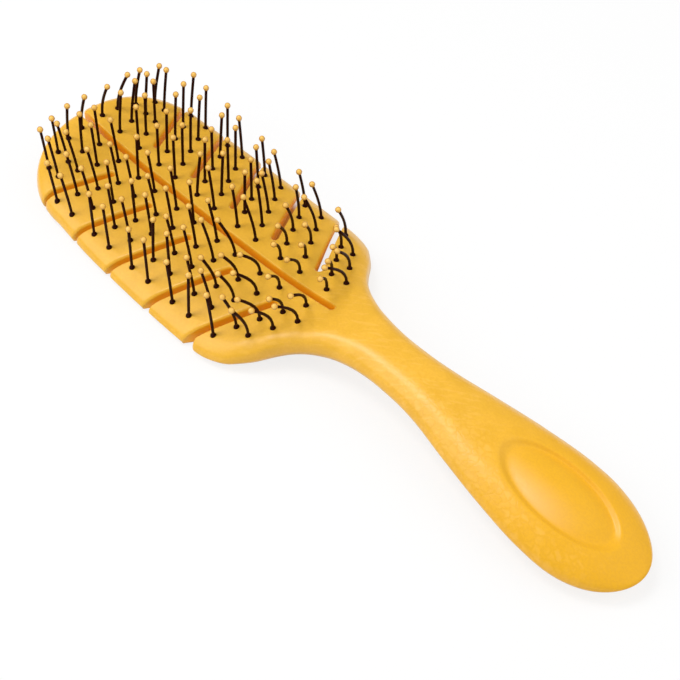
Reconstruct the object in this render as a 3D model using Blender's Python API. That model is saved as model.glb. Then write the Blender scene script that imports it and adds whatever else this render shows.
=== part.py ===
"""Vented paddle brush: leaf-shaped head of twelve lobes, pins with round tips, paddle handle.

Axes while modelling: X runs from the head's tip towards the handle's end, Y across the brush
with the left lobes at minus, Z up out of the pins, and the flat back of the head at Z = 0.
"""

import math

import bmesh
import bpy
from mathutils import Vector

MM = 0.001

# Lengths along the brush: head, shoulder, the handle to its widest place, and its round end
HEAD_LENGTH = 103.0 * MM
SHOULDER_LENGTH = 31.6 * MM
GRIP_LENGTH = 70.0 * MM
GRIP_END_LENGTH = 25.4 * MM
TIP_REACH = 27.6 * MM

# Half widths and heights above the back
HEAD_HALF_WIDTH = 34.0 * MM
NECK_HALF_WIDTH = 8.9 * MM
GRIP_HALF_WIDTH = 17.4 * MM
HEAD_HEIGHT = 9.4 * MM
NECK_TOP = 17.5 * MM
NECK_BOTTOM = 6.8 * MM
GRIP_HEIGHT = 14.1 * MM
NOSE_ROUNDING = 3.0 * MM
GRIP_END_ROUNDING = 14.0 * MM

# The front is crowned across the head, more towards the handle
CROWN = 4.4 * MM
CROWN_TIP_SHARE = 0.4
CROWN_SHOULDER_SHARE = 1.47

# Outline and side profile: (share of the stretch's length, share of the size it follows)
TIP_EXPONENT = 2.3
TIP_WIDTH_SHARE = 0.926
HEAD_WIDTH_SHARES = ((0.41, 0.97), (0.56, 0.99), (0.73, 1.0), (0.87, 0.997), (0.92, 0.985), (0.96, 0.956))
SHOULDER_WIDTH_SHARES = (
    (0.0, 0.872), (0.082, 0.785), (0.177, 0.665), (0.272, 0.494), (0.367, 0.347),
    (0.462, 0.247), (0.557, 0.173), (0.747, 0.076), (1.0, 0.016),
)
GRIP_WIDTH_SHARES = ((0.08, 0.0), (0.18, 0.018), (0.286, 0.1), (0.5, 0.453), (0.714, 0.776), (0.93, 0.988))
HEAD_TOP_SHARES = (
    (0.0, 1.34), (0.12, 1.13), (0.22, 1.04), (0.35, 1.0), (0.6, 1.03), (0.8, 1.13), (0.9, 1.21),
)
SHOULDER_TOP_SHARES = ((0.0, 0.0), (0.3, 0.35), (0.62, 0.757), (1.0, 0.98))
SHOULDER_START_TOP_SHARE = 1.335
GRIP_TOP_SHARES = ((0.25, 0.0), (0.5, 0.27), (0.79, 0.6), (1.0, 1.0))
GRIP_END_TOP_SHARE = 0.64
TIP_BOTTOM_SHARES = ((0.0, 0.62), (0.025, 0.48), (0.074, 0.22), (0.122, 0.07), (0.165, 0.0), (0.98, 0.0))
SHOULDER_BOTTOM_SHARES = ((0.15, 0.07), (0.3, 0.26), (0.46, 0.5), (0.65, 0.76), (0.84, 0.91))
GRIP_BOTTOM_SHARES = (
    (0.07, 1.0), (0.21, 0.97), (0.36, 0.85), (0.5, 0.68), (0.64, 0.5), (0.79, 0.31), (0.93, 0.15),
)
GRIP_END_BOTTOM_SHARES = ((0.12, 0.04), (0.3, 0.0), (0.5, 0.06), (0.7, 0.2), (0.85, 0.42), (1.0, 0.74))

# Section: flat columns between the rounded edges, which take up most of the width from the neck on
EDGE_ROUNDING = 3.0 * MM
GRIP_ROUNDING_SHARE = 0.84
FLAT_SHARES = (0.34, 0.67, 1.0)
ROUND_STEPS = 4
NOSE_STATION_SHARES = (0.0, 0.08, 0.3, 0.65, 1.05)
HEAD_STATION_SHARES = (
    0.055, 0.095, 0.15, 0.22, 0.3, 0.39, 0.48, 0.57, 0.66, 0.75, 0.84, 0.9, 0.945,
)
SHOULDER_STATION_SHARES = (0.0, 0.08, 0.17, 0.26, 0.35, 0.45, 0.58, 0.76)
GRIP_STATION_SHARES = (0.0, 0.13, 0.27, 0.41, 0.55, 0.69, 0.83, 0.95)
GRIP_END_STATION_SHARES = (0.1, 0.3, 0.48, 0.63, 0.76, 0.87, 0.95, 1.0)

# Slots between the lobes, and the long slot down the middle
LOBES = 6
SLOT_ROOT_Y = 8.6 * MM
SLOT_ROOT_SHARES = (0.272, 0.446, 0.623, 0.804, 0.988)
SLOT_SLOPE_SHARES = (0.415, 0.417, 0.455, 0.472, 0.517)
SLOT_MOUTH_WIDTH = 2.7 * MM
SLOT_ROOT_WIDTH = 2.0 * MM
LOBE_LEADING_RADIUS = 3.2 * MM
LOBE_TRAILING_RADIUS = 1.2 * MM
MIDRIB_WIDTH = 2.5 * MM
MIDRIB_PAST_HEAD = 13.4 * MM
MIDRIB_LIP_RADIUS = 2.4 * MM

# Layers under the front: skin, pin pad, then the cover's retaining blocks on its plate
CLEARANCE = 0.3 * MM
SKIN = 1.8 * MM
PAD_THICKNESS = 1.4 * MM
PLATE_THICKNESS = 1.5 * MM
SLOT_WALL = 0.8 * MM
POCKET_END_WALL = 3.0 * MM
POCKET_SIDE_WALL = 1.9 * MM
POCKET_CHAMFER = 1.4 * MM
POCKET_PAST_PIN_SHARE = 0.7
TIP_POCKET_PAST_PIN_SHARE = 0.8
POCKET_SEARCH_SHARE = 0.8
COVER_MARGIN = 1.6 * MM
COVER_PAST_HEAD = 20.0 * MM
OVERRUN = 4.0 * MM
LENGTH_CELL = 10.2 * MM
WIDTH_CELL = 8.1 * MM

# Pins
PIN_LENGTH = 17.0 * MM
PIN_DIAMETER = 0.76 * MM
PIN_HOLE_DIAMETER = 1.7 * MM
PIN_FOOT_DEPTH = 0.5 * MM
BEAD_DIAMETER = 1.75 * MM
BEAD_SHARES = ((0.1, 0.62), (0.36, 0.97), (0.7, 0.93), (1.0, 0.35))
FIRST_COLUMN_Y = 4.3 * MM
LAST_COLUMN_INSET = 5.9 * MM
PIN_EDGE_INSET = 3.0 * MM
COLUMNS = 5
PIN_FAN = 0.9 * MM
LOBE_FAN_SHARES = (1.0, 1.0, 0.3, 0.0, 0.0, 0.0)
ROW_ROOT_SHARES = (0.27, 0.7)
ROW_EDGE_SHARES = (0.2, 0.6)
LAST_LOBE_ROOT_SHARES = (0.29, 0.65)
LAST_LOBE_EDGE_SHARES = (0.2, 0.46)
LAST_LOBE_PITCH_SHARES = (0.95, 0.93)
LAST_LOBE_SHORT_ROW = (1, 2, 3)
TIP_PIN_INSET = 7.0 * MM
TIP_LOBE_PIN_SHARES = (
    (0.21, 0.62, 1.0), (0.25, 0.565, 0.865), (0.245, 0.45, 0.665), (0.24, 0.44),
)
TIP_ROW_LEAN = 4.8 * MM
TIP_ROW_LEAN_SHARES = (0.0, 0.3, 1.0)

# The pins near the handle are bent over sideways: how far, by row and by column from left to right
PIN_SWEEP = 8.4 * MM
PIN_DRAG = 3.4 * MM
STRAIGHT_PIN_SHARE = 0.2
ROW_SWEEP_SHARES = ((), (0.0, 0.0), (0.0, 0.0), (0.1, 0.25), (0.78, 0.92), (0.96, 1.05))
ROW_DRAG_SHARES = ((), (0.0, 0.0), (0.0, 0.0), (-0.3, -0.9), (0.9, 0.9), (1.0, -0.1))
COLUMN_SWEEP_SHARES = (0.05, 0.4, 0.8, 0.9, 1.0, 0.95, 0.85, 0.8, 0.65, 0.6)
COLUMN_DRAG_SHARES = (-0.4, -0.25, -0.2, 0.2, 0.3, 1.0, 0.9, 0.75, 0.4, 0.0)

# Thumb rest on the handle: an oval step round a low dome
THUMB_FROM_END = 30.0 * MM
THUMB_HALF_LENGTH = 18.8 * MM
THUMB_HALF_WIDTH = 9.2 * MM
THUMB_STEP = 0.6 * MM
THUMB_DOME_DEPTH_SHARE = 0.25
THUMB_DOME_SHARES = (1.0, 0.72, 0.4)
THUMB_SEGMENTS = 28

HEAD_END = HEAD_LENGTH
NECK_START = HEAD_LENGTH + SHOULDER_LENGTH
GRIP_WIDEST = NECK_START + GRIP_LENGTH
BRUSH_LENGTH = GRIP_WIDEST + GRIP_END_LENGTH
MIDRIB_END = HEAD_END + MIDRIB_PAST_HEAD
COVER_END = HEAD_END + COVER_PAST_HEAD
THUMB_PLACE = BRUSH_LENGTH - THUMB_FROM_END
COLUMN_PITCH = (HEAD_HALF_WIDTH - LAST_COLUMN_INSET - FIRST_COLUMN_Y) / (COLUMNS - 1)


def clear_scene():
    for old in list(bpy.data.objects):
        bpy.data.objects.remove(old, do_unlink=True)


def new_collection(name):
    collection = bpy.data.collections.new(name)
    bpy.context.scene.collection.children.link(collection)
    return collection


def material(name, colour, roughness):
    made = bpy.data.materials.new(name)
    made.use_nodes = True
    shader = made.node_tree.nodes["Principled BSDF"]
    shader.inputs["Base Color"].default_value = (*colour, 1.0)
    shader.inputs["Roughness"].default_value = roughness
    shader.inputs["Metallic"].default_value = 0.0
    made.diffuse_color = (*colour, 1.0)
    return made


def smooth_through(keys, x):
    """Value at x of a smooth curve through (place, value) keys that never overshoots them."""
    if x <= keys[0][0]:
        return keys[0][1]
    if x >= keys[-1][0]:
        return keys[-1][1]
    slopes = [(b[1] - a[1]) / (b[0] - a[0]) for a, b in zip(keys, keys[1:])]
    tangents = [slopes[0]]
    for before, after in zip(slopes, slopes[1:]):
        level = before * after <= 0.0
        tangents.append(0.0 if level else 2.0 * before * after / (before + after))
    tangents.append(slopes[-1])
    span = next(i for i in range(len(slopes)) if x <= keys[i + 1][0])
    (x0, v0), (x1, v1) = keys[span], keys[span + 1]
    t = (x - x0) / (x1 - x0)
    width = x1 - x0
    return (
        v0 * (1 - t) ** 2 * (1 + 2 * t)
        + v1 * t ** 2 * (3 - 2 * t)
        + width * tangents[span] * t * (1 - t) ** 2
        - width * tangents[span + 1] * t ** 2 * (1 - t)
    )


def keyed(start, length, shares, low, high):
    """Keys along a stretch: places from start, values between low and high."""
    return [(start + length * place, low + (high - low) * share) for place, share in shares]


def arch(share, exponent):
    """Height of a unit superellipse quarter over a share of its half width."""
    return max(0.0, 1.0 - min(1.0, abs(share)) ** exponent) ** (1.0 / exponent)


WIDTH_KEYS = (
    [(TIP_REACH, HEAD_HALF_WIDTH * TIP_WIDTH_SHARE)]
    + keyed(0.0, HEAD_LENGTH, HEAD_WIDTH_SHARES, 0.0, HEAD_HALF_WIDTH)
    + keyed(HEAD_END, SHOULDER_LENGTH, SHOULDER_WIDTH_SHARES, NECK_HALF_WIDTH, HEAD_HALF_WIDTH)
    + keyed(NECK_START, GRIP_LENGTH, GRIP_WIDTH_SHARES, NECK_HALF_WIDTH, GRIP_HALF_WIDTH)
    + [(GRIP_WIDEST, GRIP_HALF_WIDTH)]
)
TOP_KEYS = (
    keyed(0.0, HEAD_LENGTH, HEAD_TOP_SHARES, 0.0, HEAD_HEIGHT)
    + keyed(HEAD_END, SHOULDER_LENGTH, SHOULDER_TOP_SHARES, HEAD_HEIGHT * SHOULDER_START_TOP_SHARE, NECK_TOP)
    + keyed(NECK_START, GRIP_LENGTH, GRIP_TOP_SHARES, NECK_TOP, GRIP_HEIGHT)
    + [(BRUSH_LENGTH, GRIP_HEIGHT * GRIP_END_TOP_SHARE)]
)
BOTTOM_KEYS = (
    keyed(0.0, HEAD_LENGTH, TIP_BOTTOM_SHARES, 0.0, HEAD_HEIGHT)
    + keyed(HEAD_END, SHOULDER_LENGTH, SHOULDER_BOTTOM_SHARES, 0.0, NECK_BOTTOM)
    + keyed(NECK_START, GRIP_LENGTH, GRIP_BOTTOM_SHARES, 0.0, NECK_BOTTOM)
    + keyed(GRIP_WIDEST, GRIP_END_LENGTH, GRIP_END_BOTTOM_SHARES, 0.0, NECK_BOTTOM)
)
ROUNDING_KEYS = (
    (HEAD_END, EDGE_ROUNDING),
    (NECK_START, NECK_HALF_WIDTH * GRIP_ROUNDING_SHARE),
)
CROWN_KEYS = (
    (0.0, CROWN * CROWN_TIP_SHARE),
    (HEAD_END, CROWN * CROWN_SHOULDER_SHARE),
    (NECK_START, 0.0),
)


def half_width(x):
    if x < TIP_REACH:
        return HEAD_HALF_WIDTH * TIP_WIDTH_SHARE * arch((TIP_REACH - x) / TIP_REACH, TIP_EXPONENT)
    if x > GRIP_WIDEST:
        return GRIP_HALF_WIDTH * arch((x - GRIP_WIDEST) / GRIP_END_LENGTH, 2.0)
    return smooth_through(WIDTH_KEYS, x)


def crown_drop(x, y):
    return smooth_through(CROWN_KEYS, x) * (y / HEAD_HALF_WIDTH) ** 2


def end_rounding(x):
    """Share of the full thickness near the nose of the head and the end of the handle."""
    if x < NOSE_ROUNDING:
        return arch((NOSE_ROUNDING - x) / NOSE_ROUNDING, 2.0)
    run = BRUSH_LENGTH - GRIP_END_ROUNDING
    return arch((x - run) / GRIP_END_ROUNDING, 2.0) if x > run else 1.0


def edge_rounding(x):
    """Width of the rounded edge in the section at x."""
    widest = half_width(x) * GRIP_ROUNDING_SHARE
    return widest if x > NECK_START else min(smooth_through(ROUNDING_KEYS, x), widest)


def surface(x, y, side):
    """Height of the front (side 1) or the back (side -1) of the body over (x, y)."""
    width = half_width(x)
    rounding = edge_rounding(x)
    share = max(0.0, abs(y) - width + rounding) / rounding if rounding > 0.0 else 1.0
    top = smooth_through(TOP_KEYS, x) - crown_drop(x, width)
    bottom = smooth_through(BOTTOM_KEYS, x)
    middle = (top + bottom) / 2
    swell = (top - bottom) / 2 * end_rounding(x) * arch(share, 2.0)
    if side < 0:
        return middle - swell
    return middle + swell + (crown_drop(x, width) - crown_drop(x, y)) * end_rounding(x)


def front(x, y):
    return surface(x, y, 1)


def back(x, y):
    return surface(x, y, -1)


def add_object(name, mesh_data, collection, finish=None):
    made = bpy.data.objects.new(name, mesh_data)
    collection.objects.link(made)
    if finish is not None:
        mesh_data.materials.append(finish)
    return made


def mesh_from(bm, name):
    data = bpy.data.meshes.new(name)
    bm.to_mesh(data)
    bm.free()
    return data


def hide_cutter(cutter):
    cutter.hide_render = True
    cutter.display_type = "WIRE"


def cut(target, cutter, operation="DIFFERENCE"):
    modifier = target.modifiers.new(cutter.name, "BOOLEAN")
    modifier.operation = operation
    modifier.solver = "EXACT"
    modifier.object = cutter


def station_places():
    places = [NOSE_ROUNDING * share for share in NOSE_STATION_SHARES]
    places += [HEAD_LENGTH * share for share in HEAD_STATION_SHARES]
    places += [HEAD_END + SHOULDER_LENGTH * share for share in SHOULDER_STATION_SHARES]
    places += [NECK_START + GRIP_LENGTH * share for share in GRIP_STATION_SHARES]
    places += [GRIP_WIDEST + GRIP_END_LENGTH * share for share in GRIP_END_STATION_SHARES]
    return places


def section_ring(x):
    """Points round the body's section at x, anticlockwise from the left edge over the back."""
    flat = half_width(x) - edge_rounding(x)
    right = [flat * share for share in FLAT_SHARES]
    for step in range(1, ROUND_STEPS + 1):
        right.append(flat + edge_rounding(x) * math.sin(math.pi / 2 * step / ROUND_STEPS))
    places = [-y for y in reversed(right)] + [0.0] + right
    under = [Vector((x, y, back(x, y))) for y in places]
    over = [Vector((x, y, front(x, y))) for y in reversed(places[1:-1])]
    return under + over


def body_blank():
    """Loft of the body's sections from the nose to the handle's end."""
    bm = bmesh.new()
    nudge = NOSE_ROUNDING * NOSE_STATION_SHARES[1] / 4
    places = station_places()
    places[0] = nudge
    places[-1] = BRUSH_LENGTH - nudge
    rings = [[bm.verts.new(point) for point in section_ring(x)] for x in places]
    for ring, following in zip(rings, rings[1:]):
        for i in range(len(ring)):
            j = (i + 1) % len(ring)
            bm.faces.new((ring[i], following[i], following[j], ring[j]))
    bm.faces.new(list(reversed(rings[0])))
    bm.faces.new(rings[-1])
    bmesh.ops.recalc_face_normals(bm, faces=bm.faces)
    return bm


def prism(outline, low, high):
    """Closed block over an outline, from the height low to the height high."""
    bm = bmesh.new()
    base = bm.faces.new([bm.verts.new((x, y, low)) for x, y in outline])
    grown = bmesh.ops.extrude_face_region(bm, geom=[base])
    raised = [v for v in grown["geom"] if isinstance(v, bmesh.types.BMVert)]
    bmesh.ops.translate(bm, verts=raised, vec=(0.0, 0.0, high - low))
    bmesh.ops.recalc_face_normals(bm, faces=bm.faces)
    return bm


def draped(outline, low, high):
    """Closed block over an outline whose underside and top follow the surfaces low and high."""
    bm = prism(outline, 0.0, HEAD_HEIGHT)
    length_cells = math.ceil(COVER_END / LENGTH_CELL)
    width_cells = math.ceil(HEAD_HALF_WIDTH / WIDTH_CELL)
    for axis, cell, first, last in ((0, LENGTH_CELL, 1, length_cells), (1, WIDTH_CELL, -width_cells, width_cells)):
        for step in range(first, last):
            point = [0.0, 0.0, 0.0]
            normal = [0.0, 0.0, 0.0]
            point[axis] = cell * step
            normal[axis] = 1.0
            geometry = bm.verts[:] + bm.edges[:] + bm.faces[:]
            bmesh.ops.bisect_plane(bm, geom=geometry, plane_co=point, plane_no=normal)
    bmesh.ops.triangulate(bm, faces=[face for face in bm.faces if abs(face.normal.z) > 0.5])
    for vert in bm.verts:
        height = high if vert.co.z > HEAD_HEIGHT / 2 else low
        vert.co.z = height(vert.co.x, vert.co.y)
    bmesh.ops.recalc_face_normals(bm, faces=bm.faces)
    return bm


def join(parts):
    """One bmesh holding every given bmesh."""
    whole = bmesh.new()
    for part in parts:
        data = mesh_from(part, "piece")
        whole.from_mesh(data)
        bpy.data.meshes.remove(data)
    return whole


def mirrored(outline):
    return [(x, -y) for x, y in reversed(outline)]


def slot_line(slot, y):
    """Place along the brush of a slot's middle line at the distance y from the midrib."""
    return HEAD_LENGTH * SLOT_ROOT_SHARES[slot] - SLOT_SLOPE_SHARES[slot] * (abs(y) - SLOT_ROOT_Y)


def slot_outline(slot):
    """Slot from its round root out past the edge, where its mouth flares round the lobes' corners."""
    slope = SLOT_SLOPE_SHARES[slot]
    along = Vector((-slope, 1.0)).normalized()
    across = Vector((along.y, -along.x))
    root = Vector((slot_line(slot, SLOT_ROOT_Y), SLOT_ROOT_Y)) + along * (SLOT_ROOT_WIDTH / 2)
    edge = half_width(slot_line(slot, HEAD_HALF_WIDTH)) - root.y
    reach = edge / along.y
    points = []
    for step in range(5):
        angle = math.pi + math.pi * step / 4
        points.append(root + SLOT_ROOT_WIDTH / 2 * (across * math.cos(angle) + along * math.sin(angle)))
    for side, radius in ((1, LOBE_LEADING_RADIUS), (-1, LOBE_TRAILING_RADIUS)):
        flare = []
        for step in range(5):
            angle = math.pi / 2 * step / 4
            out = SLOT_MOUTH_WIDTH / 2 + radius * (1 - math.cos(angle))
            run = reach - radius + radius * math.sin(angle)
            flare.append(root + along * run + across * side * out)
        flare.append(flare[-1] + along * OVERRUN)
        points += flare if side > 0 else list(reversed(flare))
    return [(point.x, point.y) for point in points]


def midrib_outline():
    """Long slot down the middle, open with round lips at the tip and round at its end."""
    half = MIDRIB_WIDTH / 2
    lip = MIDRIB_LIP_RADIUS
    side = [(-OVERRUN, half + lip)]
    for step in range(5):
        angle = math.pi / 2 * step / 4
        side.append((lip * (1 - math.cos(angle)), half + lip * (1 - math.sin(angle))))
    end = []
    for step in range(5):
        angle = math.pi / 2 - math.pi * step / 4
        end.append((MIDRIB_END - half + half * math.cos(angle), half * math.sin(angle)))
    return [(x, -y) for x, y in side] + list(reversed(end)) + list(reversed(side))


def row_place(lobe, share, y):
    """Place of a line that keeps its share of the way from one slot to the next."""
    start = slot_line(lobe - 1, y)
    if lobe < LOBES - 1:
        stretch = slot_line(lobe, y) - start
    else:
        before = start - slot_line(lobe - 2, y)
        inner, outer = LAST_LOBE_PITCH_SHARES
        outwards = (abs(y) - SLOT_ROOT_Y) / (HEAD_HALF_WIDTH - SLOT_ROOT_Y)
        stretch = before * (inner + (outer - inner) * outwards)
    return start + stretch * share


def column_y(column):
    return FIRST_COLUMN_Y + COLUMN_PITCH * column


def lobe_pins(lobe):
    """(x, y, row, column) of a lobe's pins on the right half, columns counted from the midrib."""
    pins = []
    last = lobe == LOBES - 1
    roots = LAST_LOBE_ROOT_SHARES if last else ROW_ROOT_SHARES
    edges = LAST_LOBE_EDGE_SHARES if last else ROW_EDGE_SHARES
    if lobe == 0:
        reach = slot_line(0, FIRST_COLUMN_Y) - TIP_PIN_INSET
        edge = POCKET_END_WALL + CLEARANCE + PIN_DIAMETER
        for column, shares in enumerate(TIP_LOBE_PIN_SHARES):
            y = column_y(column)
            for row, share in enumerate(shares):
                x = slot_line(0, y) - reach * share
                pins.append((x, min(y, rim(x, edge)), row, column))
        return pins
    for row in range(2):
        for column in range(COLUMNS):
            if last and row == 1 and column not in LAST_LOBE_SHORT_ROW:
                continue
            y = column_y(column)
            share = roots[row] + (edges[row] - roots[row]) * column / (COLUMNS - 1)
            x = row_place(lobe, share, y)
            pins.append((x, min(y, rim(x, PIN_EDGE_INSET)), row, column))
    return pins


def rim(x, margin):
    """Half width of the head's outline drawn in by a margin square to the edge."""
    if x < TIP_REACH:
        share = min(1.0, (TIP_REACH - x) / (TIP_REACH - margin))
        return (HEAD_HALF_WIDTH * TIP_WIDTH_SHARE - margin) * arch(share, TIP_EXPONENT)
    slope = (half_width(x + margin) - half_width(x - margin)) / (2 * margin)
    return half_width(x) - margin * math.hypot(1.0, slope)


def edge_place(y, margin, start, end):
    """Place between start and end where the rim drawn in by a margin is y from the midrib."""
    rising = rim(start, margin) < rim(end, margin)
    for _ in range(40):
        middle = (start + end) / 2
        if (rim(middle, margin) < y) == rising:
            start = middle
        else:
            end = middle
    return (start + end) / 2


def pocket_corner(slot, offset, outer, wall):
    """Point on a slot's side, at the distance outer from the midrib or at the wall inside the rim."""
    y = outer
    for _ in range(8):
        y = min(outer, rim(slot_line(slot, y) + offset, wall))
    return slot_line(slot, y) + offset, y


def pocket_outline(lobe, inset):
    """Outline of a lobe's pocket on the right half, drawn in by inset for what sits in it."""
    lean = math.hypot(1.0, SLOT_SLOPE_SHARES[min(lobe, LOBES - 2)])
    offset = (SLOT_MOUTH_WIDTH / 2 + SLOT_WALL + inset) * lean
    inner = MIDRIB_WIDTH / 2 + SLOT_WALL + inset
    outer = column_y(COLUMNS - 1) + PIN_HOLE_DIAMETER * POCKET_PAST_PIN_SHARE - inset
    edge = POCKET_END_WALL + inset
    side = POCKET_SIDE_WALL + inset
    if lobe == 0:
        outer = column_y(COLUMNS - 2) + PIN_HOLE_DIAMETER * TIP_POCKET_PAST_PIN_SHARE - inset
        far_x, outer = pocket_corner(0, -offset, outer, side)
        steps = [inner + (outer - inner) * step / 5 for step in range(6)]
        low = [(edge_place(y, edge, 0.0, TIP_REACH), y) for y in steps]
        return low + [(far_x, outer), (slot_line(0, inner) - offset, inner)]
    chamfer = POCKET_CHAMFER
    wall = side if lobe < LOBES - 1 else edge
    corner_x, corner_y = pocket_corner(lobe - 1, offset + chamfer, outer, wall)
    low = [(slot_line(lobe - 1, y) + offset, y) for y in (inner, corner_y - chamfer)]
    low.append((corner_x, corner_y))
    if lobe < LOBES - 1:
        return low + [pocket_corner(lobe, -offset, outer, side), (slot_line(lobe, inner) - offset, inner)]
    far = MIDRIB_END - inset
    steps = [corner_y + (inner - corner_y) * step / 7 for step in range(8)]
    search = HEAD_LENGTH * POCKET_SEARCH_SHARE
    return low + [(min(far, edge_place(y, edge, search, NECK_START)), y) for y in steps]


def cover_outline(margin):
    """Outline of the back cover, the margin inside the head's own outline."""
    end = COVER_END - margin
    run = COVER_END - HEAD_END
    steps = 36
    side = []
    for step in range(1, steps):
        x = margin + (end - margin) * (1 - math.cos(math.pi * step / steps)) / 2
        share = max(0.0, 1 - (end - x) / run)
        side.append((x, rim(x, margin) * arch(share, 2.5)))
    return [(x, -y) for x, y in side] + list(reversed(side))


def pin_hole(x, y):
    """Cutter for one pin's hole, from above the front into the pocket."""
    top = front(x, y) + OVERRUN
    bottom = pad_top(x, y)
    bm = bmesh.new()
    bmesh.ops.create_cone(
        bm, cap_ends=True, segments=6, depth=top - bottom,
        radius1=PIN_HOLE_DIAMETER / 2, radius2=PIN_HOLE_DIAMETER / 2,
    )
    bmesh.ops.translate(bm, verts=bm.verts, vec=(x, y, (top + bottom) / 2))
    return bm


def skin_underside(x, y):
    return front(x, y) - SKIN


def pad_top(x, y):
    return skin_underside(x, y) - CLEARANCE


def pad_bottom(x, y):
    return pad_top(x, y) - PAD_THICKNESS


def block_top(x, y):
    return pad_bottom(x, y) - CLEARANCE


def plate_top(x, y):
    return back(x, y) + PLATE_THICKNESS


def plate_middle(x, y):
    return back(x, y) + PLATE_THICKNESS / 2


def seat_top(x, y):
    return plate_top(x, y) + CLEARANCE


def seat_underside(x, y):
    return back(x, y) - OVERRUN


def pin_drift(lobe, side, row, column):
    """How far a pin's end lies from over its foot, along and across the brush."""
    place = COLUMNS - 1 - column if side < 0 else COLUMNS + column
    fan = side * PIN_FAN * LOBE_FAN_SHARES[lobe] * min(1.0, (column + 0.5) / 2)
    if lobe == 0:
        return TIP_ROW_LEAN * TIP_ROW_LEAN_SHARES[row] * (1 - column / COLUMNS), fan
    along = PIN_DRAG * COLUMN_DRAG_SHARES[place] * ROW_DRAG_SHARES[lobe][row]
    across = fan - PIN_SWEEP * COLUMN_SWEEP_SHARES[place] * ROW_SWEEP_SHARES[lobe][row]
    return along, across


def pin_path(x, y, drift):
    """Points up a pin from its foot: straight through the skin, then an even bend to its end."""
    start = Vector((x, y, front(x, y)))
    foot = Vector((x, y, pad_top(x, y) - PIN_FOOT_DEPTH))
    reach = math.hypot(*drift)
    turn = 2 * reach / PIN_LENGTH
    turn += turn ** 3 / 12
    segments = 1 if reach < PIN_SWEEP * STRAIGHT_PIN_SHARE else 4
    towards = Vector((*drift, 0.0)).normalized()
    points = [foot, start]
    for step in range(1, segments + 1):
        angle = turn * step / segments
        length = PIN_LENGTH * step / segments
        rise = length * math.sin(angle) / angle if angle > 0.0 else length
        aside = length * (1 - math.cos(angle)) / angle if angle > 0.0 else 0.0
        points.append(start + Vector((0.0, 0.0, rise)) + towards * aside)
    return points


def pin_solid(points):
    """Four-sided pin with a bead at its end, as a bevelled curve made a closed mesh."""
    line = (points[-1] - points[-2]).normalized()
    places = [(point, PIN_DIAMETER / 2) for point in points]
    for along, share in BEAD_SHARES:
        places.append((points[-1] + line * BEAD_DIAMETER * along, BEAD_DIAMETER / 2 * share))
    curve = bpy.data.curves.new("pin", "CURVE")
    curve.dimensions = "3D"
    curve.bevel_depth = PIN_DIAMETER / 2
    curve.bevel_resolution = 0
    curve.use_fill_caps = True
    spline = curve.splines.new("POLY")
    spline.points.add(len(places) - 1)
    for target, (point, radius) in zip(spline.points, places):
        target.co = (*point, 1.0)
        target.radius = radius / curve.bevel_depth
    guide = bpy.data.objects.new("pin", curve)
    bpy.context.scene.collection.objects.link(guide)
    data = bpy.data.meshes.new_from_object(guide.evaluated_get(bpy.context.evaluated_depsgraph_get()))
    bpy.data.objects.remove(guide, do_unlink=True)
    bpy.data.curves.remove(curve)
    bm = bmesh.new()
    bm.from_mesh(data)
    bpy.data.meshes.remove(data)
    bmesh.ops.remove_doubles(bm, verts=bm.verts, dist=PIN_DIAMETER / 100)
    bmesh.ops.recalc_face_normals(bm, faces=bm.faces)
    return bm


def thumb_floor(x, y, share):
    depth = THUMB_DOME_DEPTH_SHARE + (1 - THUMB_DOME_DEPTH_SHARE) * share ** 2
    return front(x, y) - THUMB_STEP * depth


def thumb_cutter():
    """Oval cutter whose underside leaves a low dome inside a step."""
    bm = bmesh.new()
    rings = []
    for share in THUMB_DOME_SHARES:
        ring = []
        for step in range(THUMB_SEGMENTS):
            angle = 2 * math.pi * step / THUMB_SEGMENTS
            x = THUMB_PLACE + THUMB_HALF_LENGTH * share * math.cos(angle)
            y = THUMB_HALF_WIDTH * share * math.sin(angle)
            ring.append(bm.verts.new((x, y, thumb_floor(x, y, share))))
        rings.append(ring)
    lid = [bm.verts.new((v.co.x, v.co.y, front(v.co.x, v.co.y) + OVERRUN)) for v in rings[0]]
    for ring, following in zip([lid] + rings, rings):
        for i in range(THUMB_SEGMENTS):
            j = (i + 1) % THUMB_SEGMENTS
            bm.faces.new((ring[i], ring[j], following[j], following[i]))
    middle = bm.verts.new((THUMB_PLACE, 0.0, thumb_floor(THUMB_PLACE, 0.0, 0.0)))
    for i in range(THUMB_SEGMENTS):
        bm.faces.new((rings[-1][i], rings[-1][(i + 1) % THUMB_SEGMENTS], middle))
    bm.faces.new(lid)
    bmesh.ops.recalc_face_normals(bm, faces=bm.faces)
    return bm


def through_cut(outline):
    """Cutter over an outline that runs past the front and the back."""
    return prism(outline, -OVERRUN, NECK_TOP + OVERRUN)


def vent_cutter():
    outlines = [midrib_outline()]
    for slot in range(LOBES - 1):
        outlines += [slot_outline(slot), mirrored(slot_outline(slot))]
    return join([through_cut(outline) for outline in outlines])


def both_sides(outline):
    return (outline, mirrored(outline))


def pocket_cutter():
    """Pockets for the pin pads, opening into the cover's seat."""
    parts = []
    for lobe in range(LOBES):
        for outline in both_sides(pocket_outline(lobe, 0.0)):
            parts.append(draped(outline, back, skin_underside))
    return join(parts)


def seat_cutter():
    """Seat for the cover's plate in the back of the head."""
    return draped(cover_outline(COVER_MARGIN), seat_underside, seat_top)


def retaining_blocks():
    parts = []
    for lobe in range(LOBES):
        for outline in both_sides(pocket_outline(lobe, CLEARANCE * 2)):
            parts.append(draped(outline, plate_middle, block_top))
    return join(parts)


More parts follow.
